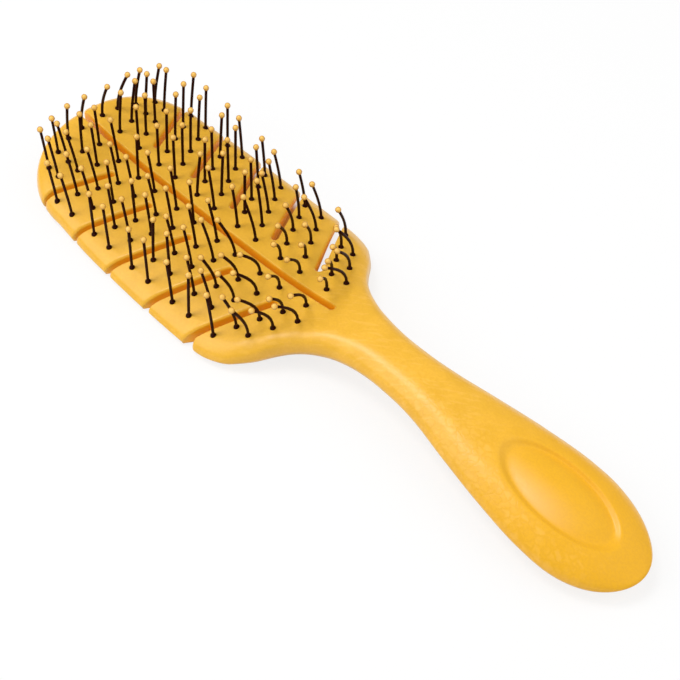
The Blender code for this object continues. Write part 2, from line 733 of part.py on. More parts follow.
def every_pin():
    """(lobe, side, foot place, path) of all pins of the brush."""
    for lobe in range(LOBES):
        for side in (-1, 1):
            for x, y, row, column in lobe_pins(lobe):
                drift = pin_drift(lobe, side, row, column)
                yield lobe, side, (x, side * y), pin_path(x, side * y, drift)


def build():
    clear_scene()
    parts = new_collection("vented_paddle_brush")
    cutters = new_collection("brush_cutters")
    pins = list(every_pin())

    shell_finish = material("satin_yellow_plastic", (0.92, 0.52, 0.07), 0.42)
    cover_finish = material("satin_yellow_back", (0.86, 0.47, 0.06), 0.46)
    pin_finish = material("black_nylon", (0.016, 0.011, 0.009), 0.38)

    vents = add_object("cut_vents", mesh_from(vent_cutter(), "cut_vents"), cutters)
    pockets = add_object("cut_pockets", mesh_from(pocket_cutter(), "cut_pockets"), cutters)
    seat = add_object("cut_seat", mesh_from(seat_cutter(), "cut_seat"), cutters)
    holes = add_object("cut_holes", mesh_from(join([pin_hole(*p[2]) for p in pins]), "cut_holes"), cutters)
    thumb = add_object("cut_thumb_rest", mesh_from(thumb_cutter(), "cut_thumb_rest"), cutters)
    blocks = add_object("add_blocks", mesh_from(retaining_blocks(), "add_blocks"), cutters)

    body = add_object("front_body", mesh_from(body_blank(), "front_body"), parts, shell_finish)
    for cutter in (vents, seat, pockets, holes, thumb):
        cut(body, cutter)

    plate = draped(cover_outline(COVER_MARGIN + CLEARANCE), back, plate_top)
    cover = add_object("back_cover", mesh_from(plate, "back_cover"), parts, cover_finish)
    cut(cover, vents)
    cut(cover, blocks, "UNION")

    shapes = [body, cover]
    for lobe in range(LOBES):
        for side, label in ((-1, "left"), (1, "right")):
            own = [p[3] for p in pins if p[0] == lobe and p[1] == side]
            outline = pocket_outline(lobe, CLEARANCE)
            outline = outline if side > 0 else mirrored(outline)
            pad = add_object(
                f"pin_pad_{label}_{lobe + 1}",
                mesh_from(draped(outline, pad_bottom, pad_top), "pin_pad"),
                parts, pin_finish,
            )
            strands = join([pin_solid(points) for points in own])
            strand = add_object(f"add_pins_{label}_{lobe + 1}", mesh_from(strands, "pins"), cutters)
            cut(pad, strand, "UNION")
            hide_cutter(strand)
            shapes.append(pad)

    for cutter in (vents, pockets, seat, holes, thumb, blocks):
        hide_cutter(cutter)
    stand_on_origin(shapes, list(parts.objects) + list(cutters.objects), parts)


def stand_on_origin(shapes, everything, collection):
    """Hang all objects on an empty that puts the middle of the brush's footprint on the origin."""
    bpy.context.view_layer.update()
    depsgraph = bpy.context.evaluated_depsgraph_get()
    corners = []
    for shape in shapes:
        data = shape.evaluated_get(depsgraph).data
        corners += [v.co.copy() for v in data.vertices]
    low = Vector([min(c[i] for c in corners) for i in range(3)])
    high = Vector([max(c[i] for c in corners) for i in range(3)])
    frame = bpy.data.objects.new("brush_frame", None)
    collection.objects.link(frame)
    frame.location = (-(low.x + high.x) / 2, -(low.y + high.y) / 2, -low.z)
    for item in everything:
        item.parent = frame
    print("brush corners in mm", [round(value / MM, 2) for value in (*low, *high)])


build()
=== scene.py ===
# %% [markdown]
# # Vented paddle brush
# A detangling brush in satin yellow plastic, lying on its back with the pins up. Its leaf-shaped
# head is cut into twelve lobes by slanted slots and a long slot down the middle. Black nylon pins
# with tan beads stand in two rows on each lobe, and those next to the handle are bent over.
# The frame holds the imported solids: every piece below takes its place from them.

# %% Load the frame
from math import acos, asin, atan2, cos, hypot, pi, radians, sin

import bmesh
import bpy
from mathutils import Matrix, Vector
from mathutils.kdtree import KDTree


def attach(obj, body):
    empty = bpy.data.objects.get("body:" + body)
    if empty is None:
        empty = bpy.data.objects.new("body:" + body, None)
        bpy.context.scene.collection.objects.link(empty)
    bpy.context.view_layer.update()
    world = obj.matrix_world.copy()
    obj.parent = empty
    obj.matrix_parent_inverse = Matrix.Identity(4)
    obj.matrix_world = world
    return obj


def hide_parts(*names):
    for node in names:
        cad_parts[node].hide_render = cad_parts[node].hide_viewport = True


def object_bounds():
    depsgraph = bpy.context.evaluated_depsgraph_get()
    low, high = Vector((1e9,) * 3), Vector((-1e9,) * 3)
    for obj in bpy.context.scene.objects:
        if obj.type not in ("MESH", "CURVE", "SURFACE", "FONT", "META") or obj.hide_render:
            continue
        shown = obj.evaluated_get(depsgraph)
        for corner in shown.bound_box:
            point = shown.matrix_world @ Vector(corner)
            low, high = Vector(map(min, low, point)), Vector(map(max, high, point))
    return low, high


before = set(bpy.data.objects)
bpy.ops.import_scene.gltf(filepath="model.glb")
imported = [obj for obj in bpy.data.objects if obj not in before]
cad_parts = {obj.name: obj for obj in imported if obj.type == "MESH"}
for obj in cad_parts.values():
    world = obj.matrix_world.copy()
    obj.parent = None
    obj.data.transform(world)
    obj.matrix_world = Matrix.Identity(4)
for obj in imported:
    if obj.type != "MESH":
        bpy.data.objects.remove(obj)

cad_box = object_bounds()

# %% [markdown]
# ## The brush's own shape
# Everything is drawn in millimetres from the head's tip, along X, and is put in place and turned
# into metres when a piece is finished. The curves are the solids' own: a width, a top and a bottom
# over the length, each a smooth line through a few places that never overshoots them.

# %% Sizes
MM = 0.001
QUARTER = pi / 2
SOLID_TIP = 0.07
NOSE_X = cad_box[0].x / MM - SOLID_TIP
HEAD_END, NECK_START, GRIP_WIDEST, BRUSH_END = 103, 134.6, 204.6, 230
TIP_REACH, TIP_HALF_WIDTH, TIP_EXPONENT = 27.6, 31.48, 2.3
HALF_WIDTH, GRIP_HALF_WIDTH, GRIP_END = 34, 17.4, 25.4
EASE = 0.07

WIDTHS = (
    (27.6, 31.48), (42.2, 32.98), (57.7, 33.66), (75.2, 34), (89.6, 33.9), (94.8, 33.49),
    (98.9, 32.5), (103, 30.79), (105.6, 28.6), (108.6, 25.6), (111.6, 21.3), (114.6, 17.61),
    (117.6, 15.1), (120.6, 13.24), (126.6, 10.81), (134.6, 9.3), (140.2, 8.9), (147.2, 9.05),
    (154.6, 9.75), (169.6, 12.75), (184.6, 15.5), (199.7, 17.3), (204.6, 17.4),
)
TOPS = (
    (0, 12.6), (12.4, 10.62), (22.7, 9.78), (36, 9.4), (61.8, 9.68), (82.4, 10.62), (92.7, 11.37),
    (103, 12.55), (112.5, 14.28), (122.6, 16.3), (134.6, 17.4), (152.1, 17.5), (169.6, 16.58),
    (189.9, 15.46), (204.6, 14.1), (230, 9.02),
)
BOTTOMS = (
    (0, 5.83), (2.6, 4.51), (7.6, 2.07), (12.6, 0.66), (17, 0), (94, 0), (101, 0.7), (107.7, 1.9),
    (112.5, 3.2), (117.5, 4.6), (123.5, 5.8), (129.5, 6.5), (139.5, 6.8), (149.3, 6.6),
    (159.8, 5.78), (169.6, 4.62), (179.4, 3.4), (189.9, 2.11), (199.7, 1.02), (207.6, 0.27),
    (212.2, 0), (217.3, 0.41), (222.4, 1.36), (226.2, 2.86), (230, 5.03),
)
CROWNS = ((0, 1.76), (103, 6.47), (134.6, 0))
ROLL_REACH, ROLL_EXPONENT, ROLL_LEVEL = 5.2, 2.1, 0.4
ROUNDINGS = ((103, 3), (134.6, 7.8))
GRIP_ROUND_SHARE, END_ROUND, BACK_ROUND = 0.84, 14, 6
BODY_LEAD, HOLLOW_LEAD, HOLLOW_RUN = 4, 13, 20


def smooth_through(keys, x):
    """Value at x of a smooth line through (place, value) keys."""
    if x <= keys[0][0]:
        return keys[0][1]
    if x >= keys[-1][0]:
        return keys[-1][1]
    slopes = [(b[1] - a[1]) / (b[0] - a[0]) for a, b in zip(keys, keys[1:])]
    tangents = [slopes[0]]
    for before, after in zip(slopes, slopes[1:]):
        tangents.append(0 if before * after <= 0 else 2 * before * after / (before + after))
    tangents.append(slopes[-1])
    i = next(i for i in range(len(slopes)) if x <= keys[i + 1][0])
    (x0, v0), (x1, v1) = keys[i], keys[i + 1]
    t = (x - x0) / (x1 - x0)
    ends = v0 * (1 - t) ** 2 * (1 + 2 * t) + v1 * t ** 2 * (3 - 2 * t)
    return ends + (x1 - x0) * t * (1 - t) * (tangents[i] * (1 - t) - tangents[i + 1] * t)


def arch(share, exponent=2):
    """Height of a unit round over a share of its reach."""
    return max(0, 1 - min(1, abs(share)) ** exponent) ** (1 / exponent)


def ease(t):
    """Smooth step from 0 to 1."""
    t = min(1, max(0, t))
    return t * t * (3 - 2 * t)


def turns(whole, count):
    """Even steps of an angle, both ends included."""
    return [whole * step / count for step in range(count + 1)]


def half_width(x):
    if x < TIP_REACH:
        return TIP_HALF_WIDTH * arch((TIP_REACH - x) / TIP_REACH, TIP_EXPONENT)
    if x > GRIP_WIDEST:
        return GRIP_HALF_WIDTH * arch((x - GRIP_WIDEST) / GRIP_END)
    return smooth_through(WIDTHS, x)


print("half width at the head's widest and at the neck", half_width(75.2), half_width(140.2))

# %% [markdown]
# The front is crowned across the head and turns into a fully round section at the neck, so its
# height is a formula over the plan. The same formula gives the back, and the pins stand on it.

# %% Heights of the front and the back
def crown_drop(x, y):
    return smooth_through(CROWNS, x) * (y / HALF_WIDTH) ** 2


def rim_gap(x, y):
    """Distance from a place on the head out to the rim."""
    if x < TIP_REACH:
        across = (abs(y) / TIP_HALF_WIDTH) ** TIP_EXPONENT
        along = ((TIP_REACH - x) / TIP_REACH) ** TIP_EXPONENT
        return TIP_HALF_WIDTH * (1 - min(1, (across + along) ** (1 / TIP_EXPONENT)))
    slope = (half_width(x + 2.5) - half_width(x - 2.5)) / 5
    return (half_width(x) - abs(y)) / hypot(1, slope)


def heights(x, y):
    """Heights of the front, the rim and the back over (x, y), before edges are rounded."""
    x = min(max(x, 0), BRUSH_END)
    on_head, width = x < NECK_START, half_width(x)
    top = smooth_through(TOPS, x) - crown_drop(x, width)
    low = smooth_through(BOTTOMS, x)
    rounding = min(smooth_through(ROUNDINGS, x), width) if on_head else width * GRIP_ROUND_SHARE
    body = ease((x - HEAD_END + BODY_LEAD) / (NECK_START - HEAD_END + BODY_LEAD / 2))
    middle = low + (top - low) * (ROLL_LEVEL + (0.5 - ROLL_LEVEL) * body)
    share = max(0, abs(y) - width + rounding) / max(rounding, 0.01)
    run = BRUSH_END - END_ROUND
    fade = arch((x - run) / END_ROUND) if x > run else 1
    rise = (top - middle) * (1 - body + body * arch(share)) * fade
    rise = rise + crown_drop(x, width) - crown_drop(x, y)
    roll = arch(max(0, 1 - rim_gap(x, y) / ROLL_REACH), ROLL_EXPONENT) if on_head else 1
    under = min(width, max(rounding, BACK_ROUND)) if on_head else max(rounding, 0.01)
    share = max(0, abs(y) - width + under) / max(under, 0.01)
    hollow = ease((x - HEAD_END + HOLLOW_LEAD) / HOLLOW_RUN) * (1 - arch(share))
    top = middle + rise * (roll + (1 - roll) * body)
    return top, middle, middle - (middle - low) * (1 - hollow) * fade


def front(x, y):
    return heights(x, y)[0]


def back(x, y):
    return heights(x, y)[2]


print("front over the head and the neck", round(front(60, 0), 2), round(front(140, 0), 2))

# %% [markdown]
# ## One line round the whole leaf
# The slots are open at the rim, and so is the slot down the middle, so a single closed line runs
# round all twelve lobes and the handle. The line is drawn again further in for the inner end of
# each rounded edge: slot sides move by one margin, the rim by another, and every corner keeps as
# many points, so the strips between the two lines need no fitting.

# %% Slots
SLOT_ROOT_Y = 8.6
SLOT_ROOTS = (28.02, 45.94, 64.17, 82.81, 101.76)
SLOT_SLOPES = (0.415, 0.417, 0.455, 0.472, 0.517)
SLOT_WIDTHS = (2, 2.05, 2.1, 2.2, 2.4)
MOUTH_EXTRA, MOUTH_RUN = -0.15, 24
MIDRIB_HALF, MIDRIB_END, LIP_RADIUS, LIP_GAP = 0.95, 116.4, 2.2, 0.04
TRAILING_RADIUS = 0.9
LEADING_RADII = (0.5, 0.5, 0.5, 0.6, 1.5)
LOBE_TUCK = 0.15


def slot_line(slot, y):
    return SLOT_ROOTS[slot] - SLOT_SLOPES[slot] * (abs(y) - SLOT_ROOT_Y)


def mouth_place(slot):
    """Where a slot's middle line meets the rim."""
    y = HALF_WIDTH
    for _ in range(12):
        y = half_width(slot_line(slot, y))
    return slot_line(slot, y)


MOUTHS = [mouth_place(slot) for slot in range(5)]


def lobe_tuck(x):
    """How far a lobe's edge stands in from the rim: a little in front and not at all behind."""
    for first, last in zip(MOUTHS, MOUTHS[1:]):
        if first <= x < last:
            return LOBE_TUCK * (1 - (x - first) / (last - first)) ** 2
    if x >= MOUTHS[-1]:
        return LOBE_TUCK * max(0, 1 - (x - MOUTHS[-1]) / 14) ** 2
    return 0


def rim(x, margin):
    """Half width of the outline drawn in by a margin square to it."""
    margin = margin + EASE
    if x < TIP_REACH:
        share = min(1, (TIP_REACH - x) / (TIP_REACH - margin))
        return (TIP_HALF_WIDTH - margin) * arch(share, TIP_EXPONENT) - lobe_tuck(x)
    if x > GRIP_WIDEST:
        return (GRIP_HALF_WIDTH - margin) * arch((x - GRIP_WIDEST) / (GRIP_END - margin))
    slope = (half_width(x + 0.5) - half_width(x - 0.5))
    return half_width(x) - margin * hypot(1, slope) - lobe_tuck(x)


print("slot mouths at", [round(x, 1) for x in MOUTHS])

# %% [markdown]
# A stretch of the rim is walked in even steps: by angle round the blunt tip and round the handle's
# end, where the width changes fastest, and by length between them.

# %% Walk along the rim
def rim_turn(x, margin):
    """Angle round the tip that belongs to a place on it."""
    share = (TIP_REACH - x) / (TIP_REACH - margin - EASE)
    return acos(min(1, max(0, share)) ** (TIP_EXPONENT / 2))


def tip_x(turn, margin):
    """Place on the tip that belongs to an angle round it."""
    return TIP_REACH - (TIP_REACH - margin - EASE) * cos(turn) ** (2 / TIP_EXPONENT)


def rim_stretch(start, end, margin, count):
    """Points on the rim between two places, without the two ends."""
    def measure(x):
        return rim_turn(x, margin) / QUARTER if x < TIP_REACH else 1 + (x - TIP_REACH) / TIP_REACH

    first, last = measure(start), measure(end)
    steps = [first + (last - first) * step / (count + 1) for step in range(1, count + 1)]
    places = [tip_x(v * QUARTER, margin) if v < 1 else TIP_REACH * v for v in steps]
    return [(x, rim(x, margin)) for x in places]


print("three points on the rim", rim_stretch(40, 60, 0, 3))

# %% [markdown]
# A lobe's corner is a round that touches a slot's side and the rim. Its middle lies one radius
# inside both, so it is found by sliding along the line one radius inside the slot's side until the
# rim one radius further in is met.

# %% Corners of the lobes
def slot_axes(slot):
    """A slot's root, the way along it to the rim and the way across it to the handle."""
    along = Vector((-SLOT_SLOPES[slot], 1)).normalized()
    across = Vector((along.y, -along.x))
    root = Vector((slot_line(slot, SLOT_ROOT_Y), SLOT_ROOT_Y)) + along * (SLOT_WIDTHS[slot] / 2)
    return root, along, across


def side_point(slot, side, run, margin):
    """Point on a slot's side, some way along it from the root and a margin into the lobe."""
    root, along, across = slot_axes(slot)
    half = SLOT_WIDTHS[slot] / 2 + MOUTH_EXTRA * min(1, run / MOUTH_RUN)
    return root + along * run + across * side * (half + margin)


def corner_middle(slot, side, radius, slot_margin, rim_margin):
    near, far = 0, 45
    for _ in range(40):
        run = (near + far) / 2
        point = side_point(slot, side, run, slot_margin + radius)
        if point.y < rim(point.x, rim_margin + radius):
            near = run
        else:
            far = run
    return side_point(slot, side, near, slot_margin + radius), near


def round_corner(middle, radius, start, end, count):
    """Points round a corner from one outward direction to another."""
    first = atan2(start.y, start.x)
    turn = atan2(end.y, end.x) - first
    turn = (turn + pi) % (2 * pi) - pi
    points = []
    for step in range(count + 1):
        angle = first + turn * step / count
        points.append((middle.x + radius * cos(angle), middle.y + radius * sin(angle)))
    return points


def rim_normal(x, margin):
    slope = (rim(x + 0.2, margin) - rim(x - 0.2, margin)) / 0.4
    return Vector((-slope, 1)).normalized()


print("a corner's middle", corner_middle(2, 1, LEADING_RADII[2], 0, 0)[0])

# %% [markdown]
# The line itself starts at the inner end of the middle slot, runs to the tip, round the rim with
# every slot in turn, and down the handle. The other half is its mirror image. Each point also says
# whether it is on the rim (1), in a slot (0) or on a corner between them.

# %% The leaf's line
MIDRIB_STEPS, TIP_STEPS, LOBE_STEPS, SIDE_STEPS = 70, 44, 13, 17
SHOULDER_STEPS, GRIP_STEPS, GRIP_END_STEPS = 30, 56, 26


def midrib_line(margin, rim_margin, sharpen):
    """Inner end and side of the middle slot, and its round lip at the tip."""
    half, middle_x = MIDRIB_HALF + margin, MIDRIB_END - MIDRIB_HALF
    line = [(middle_x + half * cos(turn), half * sin(turn), 0) for turn in turns(QUARTER, 6)]
    lip = LIP_RADIUS * sharpen
    lip_middle = Vector((rim_margin + EASE + lip + LIP_GAP, half + lip))
    for step in range(1, MIDRIB_STEPS):
        share = step / MIDRIB_STEPS
        line.append((middle_x + (lip_middle.x - middle_x) * share, half, 0))
    corner = round_corner(lip_middle, lip, Vector((0, -1)), Vector((-1, 0)), 8)
    return line + [(x, y, ease(step / 8)) for step, (x, y) in enumerate(corner)]


def tip_line(start_y, end_x, margin):
    """Round the blunt tip in even steps by angle, without the two ends."""
    half = TIP_HALF_WIDTH - margin - EASE
    first, last = asin((start_y / half) ** (TIP_EXPONENT / 2)), rim_turn(end_x, margin)
    angles = [first + (last - first) * step / (TIP_STEPS + 1) for step in range(1, TIP_STEPS + 1)]
    return [(tip_x(turn, margin), half * sin(turn) ** (2 / TIP_EXPONENT)) for turn in angles]


def side_line(slot, side, run, margin, taper):
    """Straight side of a slot outwards from its root, without the two ends."""
    shares = [step / SIDE_STEPS for step in range(1, SIDE_STEPS)]
    points = [side_point(slot, side, run * share, margin + taper * share) for share in shares]
    return [(point.x, point.y, 0) for point in points]


def root_line(slot, rear_margin, front_margin):
    """Round inner end of a slot."""
    root, along, across = slot_axes(slot)
    line = []
    for step in range(11):
        angle = pi * step / 10
        radius = SLOT_WIDTHS[slot] / 2 + (rear_margin + (front_margin - rear_margin) * step / 10)
        point = root - across * radius * cos(angle) - along * radius * sin(angle)
        line.append((point.x, point.y, 0))
    return line


def one_side(slot_margins, rim_margin, sharpen, tail):
    """(x, y, on the rim) from the middle slot's end to the far end, where y is positive.
    The slot margins are those of a lobe's rear side, its front side and the middle slot, and the
    last one says which share of the first two is left at the rim."""
    line = midrib_line(slot_margins[2], rim_margin, sharpen)
    for slot in range(5):
        for side, radius, count in ((-1, TRAILING_RADIUS, 6), (1, LEADING_RADII[slot], 9)):
            radius = radius * sharpen
            margin = slot_margins[0 if side < 0 else 1]
            taper = margin * (slot_margins[3] - 1)
            middle, run = corner_middle(slot, side, radius, margin + taper, rim_margin)
            outwards = rim_normal(middle.x, rim_margin + radius)
            corner = round_corner(middle, radius, -slot_axes(slot)[2] * side, outwards, count)
            corner = [(x, y, ease(step / count)) for step, (x, y) in enumerate(corner)]
            straight = side_line(slot, side, run, margin, taper)
            if side > 0:
                line += straight + corner
                continue
            (start_x, start_y, _), end_x = line[-1], corner[-1][0]
            if slot == 0:
                lobe_edge = tip_line(start_y, end_x, rim_margin)
            else:
                lobe_edge = rim_stretch(start_x, end_x, rim_margin, LOBE_STEPS)
            line += [(x, y, 1) for x, y in lobe_edge] + corner[::-1] + straight[::-1]
            line += root_line(slot, *slot_margins[:2])
    return line + tail(line[-1][0], rim_margin)


def handle_tail(place, margin):
    """Shoulder, handle side and its round end."""
    line = rim_stretch(place, NECK_START, margin, SHOULDER_STEPS)
    line += rim_stretch(NECK_START - 1, GRIP_WIDEST - 1, margin, GRIP_STEPS)
    reach, half = GRIP_END - margin - EASE, GRIP_HALF_WIDTH - margin - EASE
    for turn in turns(QUARTER, GRIP_END_STEPS):
        line.append((GRIP_WIDEST + reach * sin(turn), half * cos(turn)))
    return [(x, y, 1) for x, y in line]


def whole_line(slot_margins, rim_margin, sharpen, tail=handle_tail, left_margins=None):
    """Closed line round the leaf, against the clock seen from the front."""
    right = one_side(slot_margins, rim_margin, sharpen, tail)
    left = one_side(left_margins or slot_margins, rim_margin, sharpen, tail)
    left = [(x, -y, rimness) for x, y, rimness in reversed(left[1:-1])]
    return list(reversed(right + left))


outer_line = whole_line((0, 0, 0, 1), 0, 1)
print("points round the leaf", len(outer_line))

# %% [markdown]
# ## Helpers for meshes
# A strip that runs round a closed line starts as a flat grid, whose points are then set row by
# row, and whose two ends are merged. It is the same move as rolling a ribbon round a block.

# %% Strips round a line
def ribbon(bm, columns, rows, place, shade=None):
    """Closed strip: place(column, row) gives each point, and shade(column, row) how deep in a slot
    it lies, which the finish reads to paint the slots' orange light and glow. Returns the points of
    the strip's two borders."""
    made = bmesh.ops.create_grid(bm, x_segments=columns, y_segments=rows, size=1)["verts"]
    made.sort(key=lambda v: (round((v.co.y + 1) * rows / 2), round((v.co.x + 1) * columns / 2)))
    rings = [made[row * (columns + 1):(row + 1) * (columns + 1)] for row in range(rows + 1)]
    for row, ring in enumerate(rings):
        for column, vert in enumerate(ring):
            vert.co = place(column % columns, row)
            if shade:
                vert[bm.verts.layers.float["slot_depth"]] = shade(column % columns, row)
    seam = {ring[-1]: ring[0] for ring in rings}
    bmesh.ops.weld_verts(bm, targetmap=seam)
    return rings[0][:-1], rings[-1][:-1]


def border_edges(verts):
    """Edges of an open border between the given points."""
    chosen = set(verts)
    edges = {edge for vert in verts for edge in vert.link_edges}
    return [edge for edge in edges if edge.is_boundary and set(edge.verts) <= chosen]


trial = bmesh.new()
print("border of a ribbon", len(ribbon(trial, 8, 2, lambda c, r: Vector((cos(c), sin(c), r)))[0]))
trial.free()

# %% [markdown]
# A broad, gently curved face is paved: a square grid fills it, what comes too near a border is
# taken away, and the gap to the border is filled with triangles. The grid keeps the shading even,
# which one big many-sided face wouldn't.

# %% Paving inside borders
def loops_of(edges):
    """The closed loops that the edges form, each as its edges and its points in the plan."""
    left, loops = set(edges), []
    while left:
        edge = left.pop()
        chain, points, vert = [edge], [], edge.verts[0]
        while edge:
            points.append((vert.co.x, vert.co.y))
            edge = next((e for e in vert.link_edges if e in left), None)
            if edge:
                left.discard(edge)
                chain.append(edge)
                vert = edge.other_vert(vert)
        loops.append((chain, points))
    return loops


def holds(points, x, y):
    """Whether a loop goes round a place."""
    inside = False
    for (x0, y0), (x1, y1) in zip(points, points[1:] + points[:1]):
        if (y0 > y) != (y1 > y) and x < x0 + (x1 - x0) * (y - y0) / (y1 - y0):
            inside = not inside
    return inside


def fill_between(bm, edges):
    """Fill each loop out to the loops directly inside it, for every second depth of nesting."""
    loops = loops_of(edges)
    around = [
        {i for i, other in enumerate(loops) if other is not loop and holds(other[1], *loop[1][0])}
        for loop in loops
    ]
    for index, outer in enumerate(loops):
        if len(around[index]) % 2:
            continue
        direct = [i for i in range(len(loops)) if around[i] == around[index] | {index}]
        group = outer[0] + [edge for i in direct for edge in loops[i][0]]
        bmesh.ops.triangle_fill(
            bm, use_beauty=True, use_dissolve=False, edges=group, normal=(0, 0, 1))


def tree_of(places):
    """Tree that finds the nearest of some places in the plan."""
    tree = KDTree(len(places))
    for index, place in enumerate(places):
        tree.insert((place[0], place[1], 0), index)
    tree.balance()
    return tree


def pave(bm, borders, inside, cell, box, level):
    """Fill between borders (lists of points) with a grid at height level(x, y), where inside(x, y)
    allows it."""
    low_x, low_y, high_x, high_y = box
    columns, rows = round((high_x - low_x) / cell), round((high_y - low_y) / cell)
    grid = bmesh.ops.create_grid(bm, x_segments=columns, y_segments=rows, size=0.5)["verts"]
    for vert in grid:
        across, up = (vert.co.x + 0.5) * columns, (vert.co.y + 0.5) * rows
        vert.co = (across * cell + low_x, up * cell + low_y, 0)
    points = [vert for border in borders for vert in border]
    near = tree_of([vert.co for vert in points])
    spare = [v for v in grid if near.find(v.co)[2] < cell * 0.5 or not inside(v.co.x, v.co.y)]
    while spare:
        bmesh.ops.delete(bm, geom=spare, context="VERTS")
        grid = [v for v in grid if v.is_valid]
        open_edges = {v: sum(e.is_boundary for e in v.link_edges) for v in grid}
        spare = [v for v in grid if not v.link_faces or open_edges[v] != 2 * v.is_boundary]
    bare = {edge for vert in grid for edge in vert.link_edges if edge.is_wire}
    bmesh.ops.delete(bm, geom=list(bare), context="EDGES")
    kept = [vert.co.z for vert in points]
    for vert in points:
        vert.co.z = 0
    around = [edge for border in borders for edge in border_edges(border)]
    fill_between(bm, border_edges(grid) + around)
    for vert, z in zip(points, kept):
        vert.co.z = z
    for vert in grid:
        vert.co.z = level(vert.co.x, vert.co.y)


def signed_distance_test(outer, inner):
    """Test for being inside a line, from the nearest point of the line drawn further in."""
    tree = tree_of(inner)

    def inside(x, y):
        near, index, _ = tree.find((x, y, 0))
        a, b = outer[index], inner[index]
        return (x - near.x) * (b[0] - a[0]) + (y - near.y) * (b[1] - a[1]) > 0

    return inside


def mesh_from(bm, name):
    data = bpy.data.meshes.new(name)
    bm.to_mesh(data)
    bm.free()
    return data


def add_object(name, data):
    made = bpy.data.objects.new(name, data)
    bpy.context.scene.collection.objects.link(made)
    return made


def place_piece(bm, name, material):
    """Turn a drawing in millimetres from the tip into a finished piece in the solids' frame."""
    bmesh.ops.translate(bm, verts=bm.verts, vec=(NOSE_X, 0, 0))
    bmesh.ops.scale(bm, verts=bm.verts, vec=(MM, MM, MM))
    data = mesh_from(bm, name)
    data.materials.append(material)
    data.polygons.foreach_set("use_smooth", [True] * len(data.polygons))
    piece = add_object(name, data)
    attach(piece, "root")
    print(name, "faces", len(data.polygons))
    return piece


print("helpers ready")

# %% [markdown]
# ## Where the pins stand
# Each lobe has two rows of five pins that keep their share of the way from slot to slot; the tip's
# lobes have a short third row. The pins next to the handle are bent over sideways, and each has its
# own lean, so the leans are given pin by pin: how far the bead lies from over its foot.

# %% Feet of the pins
PIN_COLUMNS, FIRST_PIN_Y, PIN_PITCH = 5, 4.3, 5.95
PIN_INSET, TIP_PIN_INSET, TIP_ROWS_START = 3, 4.06, 7
TIP_ROWS = ((0.21, 0.62, 1), (0.25, 0.565, 0.865), (0.245, 0.45, 0.665), (0.24, 0.44))
ROW_ENDS, LAST_ROW_ENDS = ((0.27, 0.7), (0.2, 0.6)), ((0.29, 0.65), (0.2, 0.46))
LAST_LOBE_SHARE, LAST_LOBE_NARROWING = 0.95, 0.02


def row_place(lobe, share, y):
    """Place of a row that keeps its share of the way over a lobe."""
    start = slot_line(lobe - 1, y)
    if lobe < 5:
        return start + (slot_line(lobe, y) - start) * share
    outwards = (abs(y) - SLOT_ROOT_Y) / (HALF_WIDTH - SLOT_ROOT_Y)
    narrowed = LAST_LOBE_SHARE - LAST_LOBE_NARROWING * outwards
    return start + (start - slot_line(lobe - 2, y)) * narrowed * share


def cad_rim(x, margin):
    """The solids' rim, which is neither eased nor tucked in."""
    return rim(x, margin - EASE) + lobe_tuck(x)


def lobe_feet(lobe):
    """(x, y, row, column) of one lobe's pins, columns from the midrib outwards."""
    feet = []
    if lobe == 0:
        for column, shares in enumerate(TIP_ROWS):
            y = FIRST_PIN_Y + PIN_PITCH * column
            reach = slot_line(0, FIRST_PIN_Y) - TIP_ROWS_START
            for row, share in enumerate(shares):
                x = slot_line(0, y) - reach * share
                feet.append((x, min(y, cad_rim(x, TIP_PIN_INSET)), row, column))
        return feet
    roots, edges = LAST_ROW_ENDS if lobe == 5 else ROW_ENDS
    for row in range(2):
        for column in range(PIN_COLUMNS):
            if lobe == 5 and row == 1 and column not in (1, 2, 3):
                continue
            y = FIRST_PIN_Y + PIN_PITCH * column
            share = roots[row] + (edges[row] - roots[row]) * column / (PIN_COLUMNS - 1)
            x = row_place(lobe, share, y)
            feet.append((x, min(y, cad_rim(x, PIN_INSET)), row, column))
    return feet


FEET = [(x, side * y) for lobe in range(6) for side in (-1, 1) for x, y, _, _ in lobe_feet(lobe)]
print("pins", len(FEET))

# %% [markdown]
# ## The front shell
# One moulding from the lobes to the handle's end. Its edge is rolled from the inner line out over
# the rim and down the wall of each slot, each pin gets a small sunk hole, and the handle's thumb
# rest is an oval step round a low dome. What is left between them is paved.

# %% Thumb rest
THUMB_X, THUMB_LENGTH, THUMB_WIDTH = 200, 18.8, 9.2
THUMB_ROWS = (
    (1.14, 0), (1.1, 0.06), (1.06, 0.26), (1.02, 0.57),
    (0.98, 0.92), (0.94, 1.17), (0.91, 1.27), (0.88, 1.28),
)
FLOOR_EDGE, FLOOR_MIDDLE, DOME_EXPONENT = 1.28, 0.2, 2.3
RING_START, RING_END, RING_SIDES = THUMB_ROWS[-1][0], 1.17, 96


def step_width(turn):
    """The step is broad on the side towards the viewer and narrow on the far one."""
    return 0.8 - 0.2 * sin(turn)


def thumb_place(turn, share):
    share = 1 + (share - 1) * step_width(turn)
    return THUMB_X + THUMB_LENGTH * share * cos(turn), THUMB_WIDTH * share * sin(turn)


def thumb_shares(x, y):
    """Share of the way out to the step's middle, and the same counted in the step's own widths."""
    across, along = y / THUMB_WIDTH, (x - THUMB_X) / THUMB_LENGTH
    share = hypot(along, across)
    return share, 1 + (share - 1) / step_width(atan2(across, along))


def thumb_depth(share, ring):
    """Depth of the domed floor below the handle's round: least in the middle."""
    edge = 1 - (1 - RING_START) * (1 - share) / max(1 - ring, 0.001)
    return FLOOR_MIDDLE + (FLOOR_EDGE - FLOOR_MIDDLE) * (share / edge) ** DOME_EXPONENT


print("floor next to the step", round(thumb_depth(*thumb_shares(THUMB_X, 0.87 * THUMB_WIDTH)), 3))

